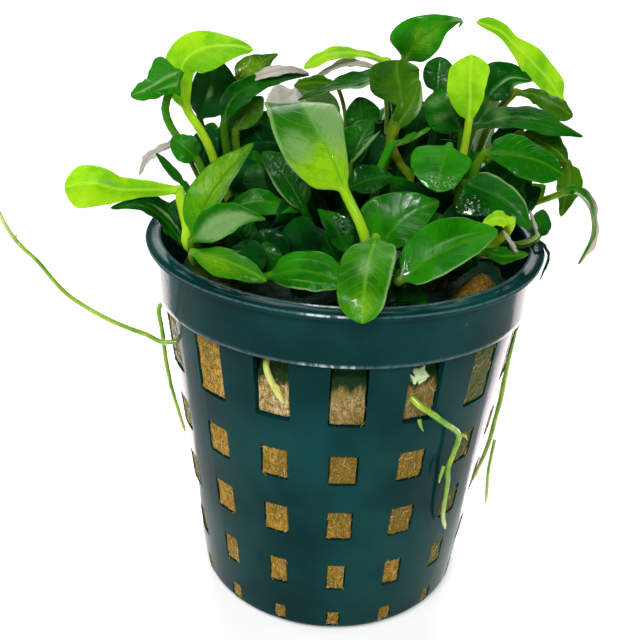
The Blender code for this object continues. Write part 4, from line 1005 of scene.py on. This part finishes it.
def wool_places(top, pads, on_top, on_pad):
    """Random places on the wool, with the direction out of it at each."""
    places = []
    grid, normal = top
    rows = len(grid)
    for _ in range(on_top):
        i, j = int(RNG.integers(rows * 2 // 3, rows - 3)), int(RNG.integers(grid.shape[1]))
        places.append((grid[i, j], normal[i, j]))
    for grid, normal in pads:
        for _ in range(on_pad):
            i, j = RNG.integers(3, PAD_POINTS - 3, 2)
            places.append((grid[i, j], normal[i, j]))
    return places


def make_fibres(top, pads, finish):
    verts, faces, shade = [], [], []
    per_fibre = FIBRE_RINGS * FIBRE_AROUND
    for start, out in wool_places(top, pads, TOP_FIBRES, PAD_FIBRES):
        along = unit(np.cross(out, RNG.normal(size=3) * (1.0, 1.0, 0.5)))
        length = RNG.uniform(*FIBRE_LENGTH)
        lift = RNG.uniform(*FIBRE_LIFT)
        bend = unit(np.cross(out, along)) * RNG.uniform(*FIBRE_BEND)
        s = np.linspace(-0.5, 0.5, FIBRE_RINGS)[:, None]
        route = (start + out * (LOOSE_GAP + lift * (0.25 - s * s)) + along * length * s
                 + bend * (s * s) * length)
        radii = np.full(FIBRE_RINGS, RNG.uniform(*FIBRE_RADIUS))
        faces += ring_faces(FIBRE_RINGS, FIBRE_AROUND, len(verts) * per_fibre)
        verts.append(tube(route, radii, FIBRE_AROUND, out).reshape(-1, 3))
        shade.append(np.full(per_fibre, RNG.uniform()))
    fibres = mesh_object("rockwool_fibres", np.concatenate(verts), faces, finish,
                         {"shade": np.concatenate(shade)})
    dress(fibres, "rockwool")


def make_grains(top, pads, finish):
    """Small octahedra, stretched and turned at random."""
    corners = np.kron(np.eye(3), ((1,), (-1,)))
    sides = ((0, 2, 4), (2, 1, 4), (1, 3, 4), (3, 0, 4), (2, 0, 5), (1, 2, 5), (3, 1, 5), (0, 3, 5))
    places = wool_places(top, pads, TOP_GRAINS, PAD_GRAINS)
    count = len(places)
    centre = np.array([start + out * LOOSE_GAP for start, out in places])
    size = RNG.uniform(*GRAIN_SIZE, (count, 1, 1)) * RNG.uniform(*GRAIN_STRETCH, (count, 1, 3))
    turn = np.linalg.qr(RNG.normal(size=(count, 3, 3)))[0]
    points = centre[:, None] + np.einsum("nij,nkj->nki", turn, corners * size)
    faces = [tuple(6 * n + c for c in side) for n in range(count) for side in sides]
    grains = mesh_object("rockwool_grains", points.reshape(-1, 3), faces, finish,
                         {"shade": np.repeat(RNG.uniform(size=count), 6)}, GRAIN_SHARP)
    dress(grains, "rockwool")


def wool_fibre_finish():
    g = Graph(bpy.data.materials.new("rockwool_fibre"))
    at = g.place()
    shade = g.value("shade")
    color = g.mix(g.step(shade, 0.0, 0.5), *FIBRE_COLORS[:2])
    color = g.mix(g.step(shade, 0.6, 0.95), color, FIBRE_COLORS[2])
    # Dark growth and painted shade on the fibres, as on the wool
    color = overgrown_and_shaded(g, at, color, g.step(shade, 1.0, 0.93))
    return g.principled(Base_Color=color, Roughness=0.35, Specular_IOR_Level=0.05,
                        Normal=g.bump(g.noise(at, 9000.0), 0.00002))


def make_wool():
    top, pads = make_rockwool()
    finish = wool_fibre_finish()
    make_fibres(top, pads, finish)
    make_grains(top, pads, finish)


# Rhizomes and roots

def rhizome_finish():
    g = Graph(bpy.data.materials.new("rhizome"))
    at = g.place()
    broad = g.noise(at, 260.0, 4.0)
    fine = g.noise(at, 1900.0, 4.0)
    color = g.mix(g.step(broad, 0.35, 0.65), *RHIZOME_COLORS)
    color = g.mix(g.step(fine, 0.58, 0.7, 0.0, 0.7), color, RHIZOME_SPECK)
    color = g.mix(g.value("scar") * 0.8, color, SCAR_COLOR)
    return g.principled(Base_Color=color, Roughness=g.step(broad, 0.3, 0.7, 0.22, 0.5),
                        Normal=g.bump(broad * 1.5 + fine, 0.00015))


def make_rhizomes():
    finish = rhizome_finish()
    for name, knots in RHIZOMES.items():
        route = smooth_route(knots, RHIZOME_STEP)
        steps = np.arange(len(route)) * RHIZOME_STEP
        ring = np.abs(np.sin(steps * math.pi / RHIZOME_RING))
        ends = np.clip(np.minimum(steps, steps[-1] - steps) / RHIZOME_END, 0.0, 1.0)
        radii = RHIZOME_RADIUS * (0.93 + 0.1 * ring) * np.sqrt(1 - (1 - ends) ** 2 * 0.96)
        points = tube(route, radii, RHIZOME_AROUND)
        centre = route[:, None]
        rough = 1 + 0.07 * layered_noise(points, 1.6, 5)[..., None]
        points = centre + (points - centre) * rough
        scar = np.repeat((1 - ring) ** 6, RHIZOME_AROUND)
        piece = mesh_object(f"rhizome_{name}_skin", points.reshape(-1, 3),
                            ring_faces(len(route), RHIZOME_AROUND), finish, {"scar": scar})
        dress(piece, "rhizome", "rhizome_" + name)


def root_finish(kind, young, old):
    g = Graph(bpy.data.materials.new("root_" + kind))
    at = g.place()
    broad = g.noise(at, 350.0)
    fine = g.noise(g.stretch(at, (1.0, 1.0, 0.35)), 4200.0)
    color = g.mix(g.step(broad, 0.3, 0.7), old, young)
    color = g.mix(g.step(g.value("run"), 0.72, 1.0), color, ROOT_TIP_COLOR)
    color = g.mix(g.step(fine, 0.6, 0.75, 0.0, 0.35), color, ROOT_SPECK)
    return g.principled(Base_Color=color, Roughness=0.28, Specular_IOR_Level=0.5,
                        Subsurface_Weight=0.25, Subsurface_Radius=(0.6, 1.0, 0.2),
                        Subsurface_Scale=0.0006, Normal=g.bump(broad + fine * 0.5, 0.00008))


def root_points(points, foot, tip, seed):
    """A thin tube that wanders, with its share of the length at each ring."""
    route = smooth_route(points, ROOT_STEP)
    wander = np.stack([layered_noise(route, 3.0, seed + 10 * k, 2) for k in range(3)], -1)
    share = np.linspace(0, 1, len(route))
    route = route + wander * 0.12 * np.sin(math.pi * share)[:, None]
    radii = foot + (tip - foot) * share
    radii = radii * (1 + 0.10 * layered_noise(route, 1.2, seed))
    radii = radii * np.sqrt(np.clip((1 - share) * len(route) / 4, 0.02, 1.0))
    return tube(route, radii, ROOT_AROUND), share


def make_roots():
    finishes = {kind: root_finish(kind, *colors) for kind, colors in ROOT_COLORS.items()}
    for n, (name, (kind, foot, tip, points)) in enumerate(ROOTS.items()):
        parts = [root_points(points, foot, tip, 40 + n)]
        for radius, twig in ROOT_TWIGS.get(name, ()):
            parts.append(root_points(twig, radius, TWIG_TIP, 70 + n))
        verts, faces, run = [], [], []
        count = 0
        for rings, share in parts:
            faces += ring_faces(len(rings), ROOT_AROUND, count)
            verts.append(rings.reshape(-1, 3))
            run.append(np.repeat(share, ROOT_AROUND))
            count += len(rings) * ROOT_AROUND
        piece = mesh_object(f"root_{name}_strand", np.concatenate(verts), faces, finishes[kind],
                            {"run": np.concatenate(run)})
        dress(piece, "root", "root_" + name)


# Leaves

def face_direction(angles):
    around, up = np.radians(angles)
    return np.array((math.sin(around) * math.cos(up), -math.cos(around) * math.cos(up),
                     math.sin(up)))


def rib_points(leaf, t):
    """Places along the midrib, at shares t of its length."""
    if leaf.right:
        return along_route(smooth_route(leaf.rib, LEAF_STEP), t)
    heel, tip = np.array(leaf.rib, float)
    arch, sweep = leaf.bow
    ahead = unit(tip - heel)
    face = face_direction(leaf.faces[0])
    face = unit(face - face @ ahead * ahead)
    bow = (4 * t * (1 - t))[:, None]
    return heel + (tip - heel) * t[:, None] + (face * arch + np.cross(ahead, face) * sweep) * bow


def half_widths(leaf, t):
    """Half widths of the blade's left and right side, at shares t of its length."""
    t = np.clip(t, 0.0005, 0.9995)
    if not leaf.right:
        width, belly = leaf.left
        rise = 1.25 * belly
        fall = 1.25 - rise
        peak = belly ** rise * (1 - belly) ** fall
        half = 0.5 * width * t ** rise * (1 - t) ** fall / peak
        return half, half

    def oval(share):
        return (4 * share * (1 - share)) ** 0.6

    knots = np.concatenate(([0.0], STATIONS, [1.0]))
    fine = np.linspace(0, 1, 201)
    blur = np.hanning(31) / np.hanning(31).sum()
    halves = []
    for widths in (leaf.left, leaf.right):
        curve = np.interp(fine, knots, np.pad(widths / oval(STATIONS), 1, "edge"))
        curve = np.convolve(np.pad(curve, 15, "edge"), blur, "valid")
        halves.append(np.interp(t, fine, curve) * oval(t))
    return halves


def rhizome_place(key, place):
    route = smooth_route(RHIZOMES[key], 0.5)
    at = place * (len(route) - 1)
    i = min(int(at), len(route) - 2)
    return route[i] + (route[i + 1] - route[i]) * (at - i), unit(route[i + 1] - route[i])


def stalk_route(leaf, heel, ahead, rings):
    """Points from inside the rhizome up to the blade's heel."""
    key, place, turn = leaf.foot
    centre, along = rhizome_place(key, place)
    turn = math.radians(turn)
    upward = np.array((0.0, 0.0, 1.0))
    right = unit(np.cross(along, upward))
    outward = unit(upward * math.cos(turn) + right * math.sin(turn))
    root = centre + outward * (RHIZOME_RADIUS - STALK_SINK)
    foot = centre + outward * (RHIZOME_RADIUS + STALK_GAP)
    if leaf.stalk:
        route = smooth_route((root, foot, *leaf.stalk, heel), LEAF_STEP)
        return along_route(route, np.linspace(0, 1, rings + 1))
    reach = np.linalg.norm(heel - foot)
    arrive = unit(0.35 * ahead + 0.65 * unit(heel - foot))
    leave = unit(0.5 * outward + 0.7 * upward)
    b = foot + leave * reach * STALK_PULL
    c = heel - arrive * reach * STALK_PULL
    s = np.linspace(0, 1, rings)[:, None]
    r = 1 - s
    route = foot * r ** 3 + b * 3 * r * r * s + c * 3 * r * s * s + heel * s ** 3
    return np.vstack((root, route))


def blade_section(leaf, across, top, halves, t, seed):
    """Sideways and upward places of one ring of points round the blade."""
    u = np.abs(across)
    left = across < 0
    lift = np.radians(np.where(left, leaf.folds[0], leaf.folds[-1]))
    cup = np.radians(np.where(left, leaf.cups[0], leaf.cups[-1])) + 1e-5
    flat_x = np.sin(cup * u) / cup
    flat_y = (1 - np.cos(cup * u)) / cup
    x = np.sign(across) * halves * (flat_x * np.cos(lift) - flat_y * np.sin(lift))
    y = halves * (flat_x * np.sin(lift) + flat_y * np.cos(lift))
    phase = np.where(left, 0.0, 2.1) + seed * 1.7
    ripple = (np.sin(math.tau * leaf.waves * t + phase)
              + 0.5 * np.sin(math.tau * leaf.waves * 2.3 * t + 2 * phase))
    y = y + leaf.wave * ripple * u ** 2.5 * min(1.0, 5 * t) * min(1.0, 5 * (1 - t))
    body = BLADE_THICKNESS * (1 - 0.78 * u ** 2.2) * min(1.0, 0.35 + 4 * (1 - t))
    groove = GROOVE_DEPTH * np.exp(-(x / GROOVE_WIDTH) ** 2) * (1 - t)
    vein = np.sin(math.tau * VEINS * (t - VEIN_SLANT * u ** VEIN_CURVE))
    quilt = QUILT * vein * np.clip(u * 4, 0, 1) * (1 - u ** 4)
    ridge = (RIDGE_DEPTH * (1 - t) + RIDGE_LEAST) * np.exp(-(x / RIDGE_WIDTH) ** 2)
    y = y + np.where(top > 0, 0.5 * body - groove + quilt, 0.0)
    y = y - np.where(top < 0, 0.5 * body + ridge - 0.6 * quilt, 0.0)
    return x, y


def leaf_directions(leaf, route, knots, t):
    """The sideways and upward direction at each point of a leaf's route. The blade faces as
    its row says, and the stalk, of the first knots points, carries that down to its foot."""
    tangent = unit(np.gradient(route, axis=0))
    for k in range(knots - 2, knots + 3):
        tangent[k] = unit(tangent[k - 1] + tangent[k] + tangent[k + 1])
    start, end = face_direction(leaf.faces[0]), face_direction(leaf.faces[-1])
    ups = np.zeros_like(route)
    for k, now in enumerate(t, knots):
        face = start * (1 - now) + end * now
        ups[k] = unit(face - face @ tangent[k] * tangent[k])
    up = ups[knots]
    for k in range(knots - 1, -1, -1):
        up = unit(up - up @ tangent[k] * tangent[k])
        ups[k] = up
    return np.cross(tangent, ups), ups


def leaf_mesh(leaf, seed, coarse):
    """Points, faces and per-point values of a leaf with its stalk, as one closed skin."""
    rings, half = BLADE_RINGS // coarse, HALF_AROUND // coarse
    even = np.linspace(0, 1, rings + 1)[1:]
    t = 0.55 * (1 - np.cos(math.pi * even)) / 2 + 0.45 * even
    heel, near = rib_points(leaf, np.array((0.0, 0.05)))
    stalk = stalk_route(leaf, heel, unit(near - heel), STALK_RINGS // coarse)
    knots = len(stalk)
    route = np.vstack((stalk, rib_points(leaf, t)))
    sides, ups = leaf_directions(leaf, route, knots, t)

    theta = math.pi * np.arange(2 * half) / half
    level = np.where(theta <= math.pi, theta, 2 * math.pi - theta)
    across = 0.6 * (2 * level / math.pi - 1) - 0.4 * np.cos(level)
    top = np.where(theta <= math.pi, 1.0, -1.0)
    top[[0, half]] = 0.0
    round_x, round_y = -np.cos(theta), np.sin(theta)

    flare = np.exp(-np.clip(distances(stalk) - STALK_GAP, 0, None) / FLARE_LENGTH)
    radius = leaf.girth * (1 + FLARE * flare)
    lefts, rights = half_widths(leaf, t)
    verts, cross, edge = [], [], []
    for k in range(len(route)):
        if k < knots:
            x, y = round_x * radius[k], round_y * radius[k]
            halves = np.full(len(theta), radius[k])
        else:
            now = t[k - knots]
            halves = np.where(across < 0, lefts[k - knots], rights[k - knots])
            x, y = blade_section(leaf, across, top, halves, now, seed)
            blend = min(1.0, now / HEEL_BLEND)
            blend = blend * blend * (3 - 2 * blend)
            x = x * blend + round_x * leaf.girth * (1 - blend)
            y = y * blend + round_y * leaf.girth * (1 - blend)
        verts.append(route[k] + np.outer(x, sides[k]) + np.outer(y, ups[k]))
        cross.append(across * halves)
        edge.append((1 - np.abs(across)) * halves)
    run = np.repeat(np.concatenate((np.linspace(-1, 0, knots), t)), len(theta))
    values = {"run": run, "cross": np.concatenate(cross), "edge": np.concatenate(edge),
              "upper": np.tile(0.5 + 0.5 * top, len(route)), "across": np.tile(across, len(route))}
    values.update((kind, np.zeros(len(run))) for kind in PATCH_KINDS)
    for kind, along, place, size, breadth, strength in leaf.patches:
        far = ((run - along) / size) ** 2 + ((values["across"] - place) / breadth) ** 2
        values[kind] = np.maximum(values[kind], strength * np.exp(-0.5 * far))
    return np.concatenate(verts), ring_faces(len(route), len(theta)), values


def leaf_finish(name, tone):
    g = Graph(bpy.data.materials.new("leaf_" + name))
    at = g.place()
    run, across = g.value("run"), g.value("across")
    edge, upper = g.value("edge"), g.value("upper")
    phase = run - g.math("POWER", g.math("ABSOLUTE", across), VEIN_CURVE) * VEIN_SLANT
    along_veins = g.node("CombineXYZ", {0: phase * 5.0, 1: across * 1.2})
    broad = g.noise(at, 170.0)
    mottle = g.noise(at, 900.0, 4.0, 0.6)
    streaks = g.noise(along_veins, 6.0, 4.0, 0.65)
    ragged = streaks + g.noise(at, 420.0, 3.0, 0.6, 0.6) - 1.0

    def patch(kind, strength):
        """A soft patch with a ragged edge."""
        return g.step(g.value(kind) * (ragged + 1.0), 0.12, 0.62) * strength

    wander = g.noise(at, 320.0, 2.0) * 3.0
    vein = g.step(g.math("SINE", phase * (VEINS * math.tau)), 0.86, 1.0)
    fine_vein = g.step(g.math("SINE", phase * (5 * VEINS * math.tau) + wander), 0.3, 1.0)
    near_rib = g.step(g.math("ABSOLUTE", g.value("cross")), 0.32, 0.06)
    # The upper side
    color = g.mix(g.step(broad, 0.36, 0.64), tone.dark, tone.light)
    for share, layer in (
            (patch("deep", 0.8), tone.dark), (patch("young", 0.75), YOUNG),
            (g.step(mottle, 0.45, 0.75) * 0.35, tone.light), (fine_vein * 0.14, tone.dark),
            (vein * 0.2, tone.rib), (near_rib * 0.75, tone.rib),
            (g.step(edge, 0.35, 0.05) * 0.4, tone.light),
            (g.step(edge, 0.09, 0.02) * tone.rim, tone.dark), (patch("sheen", 0.8), SHEEN)):
        color = g.mix(share, color, layer)
    under = g.mix(g.step(mottle, 0.3, 0.7, 0.0, 0.35), tone.under, tone.light)
    color = g.mix(g.step(upper, 0.35, 0.15), color, under)
    color = g.mix(patch("dry", 0.9), color, DRY)
    stalk = g.mix(g.step(broad, 0.35, 0.65), tone.stalk, tone.light)
    stalk = g.mix(patch("young", 0.85), stalk, YOUNG)
    stalk = g.mix(fine_vein * 0.25, stalk, tone.light)
    foot = g.step(run, -0.6, -1.0) * g.step(mottle, 0.4, 0.6, 0.35, 1.0)
    stalk = g.mix(foot, stalk, STALK_FOOT)
    color = g.mix(g.step(run, 0.0, 0.1), stalk, color)
    film = g.noise(at, 240.0, 2.0, 0.5, 0.8)
    rough = g.step(film, 0.42, 0.58, tone.rough * 0.5, tone.rough * 1.4)
    rough = rough * g.math("SUBTRACT", 1.0, patch("wet", 0.75))
    beads = g.step(g.cells(at, 1500.0), 0.5, 0.0) * patch("wet", 5.0)
    height = fine_vein * 0.15 + mottle * 0.6 + vein * -0.6 + broad * 1.6 + beads
    return g.principled(Base_Color=color, Roughness=rough, Normal=g.bump(height, 0.00006),
                        Specular_IOR_Level=patch("wet", 0.8) + 0.07,
                        Subsurface_Weight=tone.glow, Subsurface_Radius=(0.5, 1.0, 0.12),
                        Subsurface_Scale=0.0009)


def fill_leaves():
    leaves = {}
    for row, (y, z, length, width) in enumerate(FILL_ROWS):
        for column, x in enumerate(FILL_COLUMNS):
            heel = np.array((x, y, z)) + RNG.uniform(-1.0, 1.0, 3) * FILL_SHIFT
            clear = heel[0] < FILL_CLEAR[0] and heel[1] > FILL_CLEAR[1]
            if math.hypot(heel[0], heel[1]) > FILL_REACH or clear:
                continue
            lean = RNG.uniform(*FILL_SIDE) + 0.02 * x
            tip = heel + np.array((lean, RNG.uniform(*FILL_DEPTH), 0.85)) * length
            rhizome = "left" if x < -6 else "centre" if x < 6 else "right"
            along = float(np.clip((y + 17) / 31, 0.03, 0.97))
            foot = (rhizome, along, RNG.uniform(*FILL_FOOT))
            face = (RNG.uniform(*FILL_TURN), RNG.uniform(*FILL_TILT))
            tone = "deep" if (row + column) % 3 == 0 else "dark"
            leaves[f"fill_{row}_{column}"] = Leaf(
                tone, foot, (heel, tip), (width * RNG.uniform(*FILL_WIDTH), 0.45),
                faces=(face,), folds=(14,), bow=(1.0, 0.3))
    return leaves


def make_leaves():
    finishes = {name: leaf_finish(name, tone) for name, tone in TONES.items()}
    leaves = {**LEAVES, **EXTRA_LEAVES, **fill_leaves()}
    for n, (name, leaf) in enumerate(leaves.items()):
        coarse = 1 if name in LEAVES or name in EXTRA_LEAVES else FILL_COARSE
        verts, faces, values = leaf_mesh(leaf, n, coarse)
        piece = mesh_object("blade_" + name, verts, faces, finishes[leaf.tone], values)
        dress(piece, "leaf_" + leaf.tone, *(("leaf_" + name,) if name in LEAVES else ()))


# Stage

def make_camera():
    data = bpy.data.cameras.new("camera")
    data.lens = LENS
    data.sensor_width = SENSOR
    data.clip_start, data.clip_end = CAMERA_RANGE
    camera = bpy.data.objects.new("camera", data)
    bpy.context.scene.collection.objects.link(camera)
    ahead = Vector((math.sin(CAMERA_PAN) * math.cos(CAMERA_TILT),
                    math.cos(CAMERA_PAN) * math.cos(CAMERA_TILT), -math.sin(CAMERA_TILT)))
    right = ahead.cross(Vector((0, 0, 1))).normalized()
    up = right.cross(ahead)
    cos, sin = math.cos(CAMERA_ROLL), math.sin(CAMERA_ROLL)
    right, up = right * cos + up * sin, up * cos - right * sin
    turn = Matrix((right, up, -ahead)).transposed().to_4x4()
    camera.matrix_world = Matrix.Translation(Vector(CAMERA_PLACE)) @ turn
    bpy.context.scene.camera = camera


def add_light(name, place, target, size, power, size_y=None, gloss_only=False):
    data = bpy.data.lights.new(name, "AREA")
    data.energy = power
    data.shape = "RECTANGLE"
    data.size = size
    data.size_y = size_y or size
    light = bpy.data.objects.new(name, data)
    light.location = place
    aim = Vector(target) - Vector(place)
    light.rotation_mode = "QUATERNION"
    light.rotation_quaternion = aim.to_track_quat("-Z", "Y")
    light.visible_camera = False
    light.visible_diffuse = not gloss_only
    bpy.context.scene.collection.objects.link(light)
    return light


def make_world():
    """A bright room behind and at the sides, dim in front and overhead; plain white to the eye."""
    world = bpy.data.worlds.new("world")
    bpy.context.scene.world = world
    g = Graph(world)
    _, y, z = g.axes(g.node("TexCoord", {}, "Generated"))
    behind = g.step(y, -0.35, 0.3, WORLD_DIM, WORLD_BRIGHT, "LINEAR")
    level = behind * g.step(z, 0.72, 0.9, 1.0, WORLD_OVERHEAD, "LINEAR")
    seen = g.node("LightPath", {}, "Is Camera Ray")
    level = g.step(seen, 0.0, 1.0, level, WORLD_SEEN, "LINEAR")
    g.fill(g.tree.nodes["Background"], {"Color": WHITE, "Strength": level})


def add_floor_glow(side, turn):
    """A glow on the floor beside the pot, seen in the pot's gloss only. One edge runs from the
    pot's foot outwards and back, at the given angle from the X axis."""
    out = Vector((side * math.cos(turn), math.sin(turn), 0))
    back = Vector((-side * math.sin(turn), math.cos(turn), 0))
    middle = Vector((side * GLOW_FOOT[0], GLOW_FOOT[1], 0.001)) + (out + back) * GLOW_SIZE / 2
    panel = add_light("floor_glow", middle, middle + Vector((0, 0, 1)), GLOW_SIZE, GLOW_POWER,
                      gloss_only=True)
    panel.data.color = GLOW_COLOR
    upwards = Matrix.Rotation(math.pi, 3, "X").to_quaternion()
    panel.rotation_quaternion = Matrix.Rotation(side * turn, 3, "Z").to_quaternion() @ upwards


def make_floor():
    mesh = bpy.data.meshes.new("floor")
    corners = [(x * FLOOR_HALF, y * FLOOR_HALF, 0) for x, y in ((-1, -1), (1, -1), (1, 1), (-1, 1))]
    mesh.from_pydata(corners, [], [(0, 1, 2, 3)])
    g = Graph(bpy.data.materials.new("floor"))
    away = g.distance(g.place(), (0.0, 0.0, 0.0))
    white = g.step(away, FLOOR_NEAR, FLOOR_FAR, 0.3, 1.0)
    mesh.materials.append(g.principled(
        Base_Color=FLOOR_COLOR, Roughness=0.8, Specular_IOR_Level=0.1,
        Emission_Color=WHITE, Emission_Strength=white))
    floor = bpy.data.objects.new("floor", mesh)
    bpy.context.scene.collection.objects.link(floor)


def make_lights():
    add_light("key", (-0.10, -0.40, 0.46), PLANT_MIDDLE, 0.26, 2.4)
    add_light("flash", (0.03, -0.30, 0.34), PLANT_MIDDLE, 0.03, 0.4)
    for side in (-1, 1):
        add_light("fill", (0.5 * side, 0.08, 0.2), (0, 0, 0.05), 0.3, 0.4).visible_glossy = False
    add_light("behind", (0.0, 0.9, 0.75), (0, 0.35, 0), 0.8, 11.0)
    add_light("glint", (0.03, -0.30, 0.345), PLANT_MIDDLE, 0.12, 0.9, 0.03, True)
    for side in (-1, 1):
        for turn in GLOW_TURNS:
            add_floor_glow(side, turn)
    bpy.context.scene.view_settings.view_transform = "Standard"


make_camera()
make_world()
make_floor()
make_lights()
make_pot()
make_wool()
make_rhizomes()
make_roots()
make_leaves()
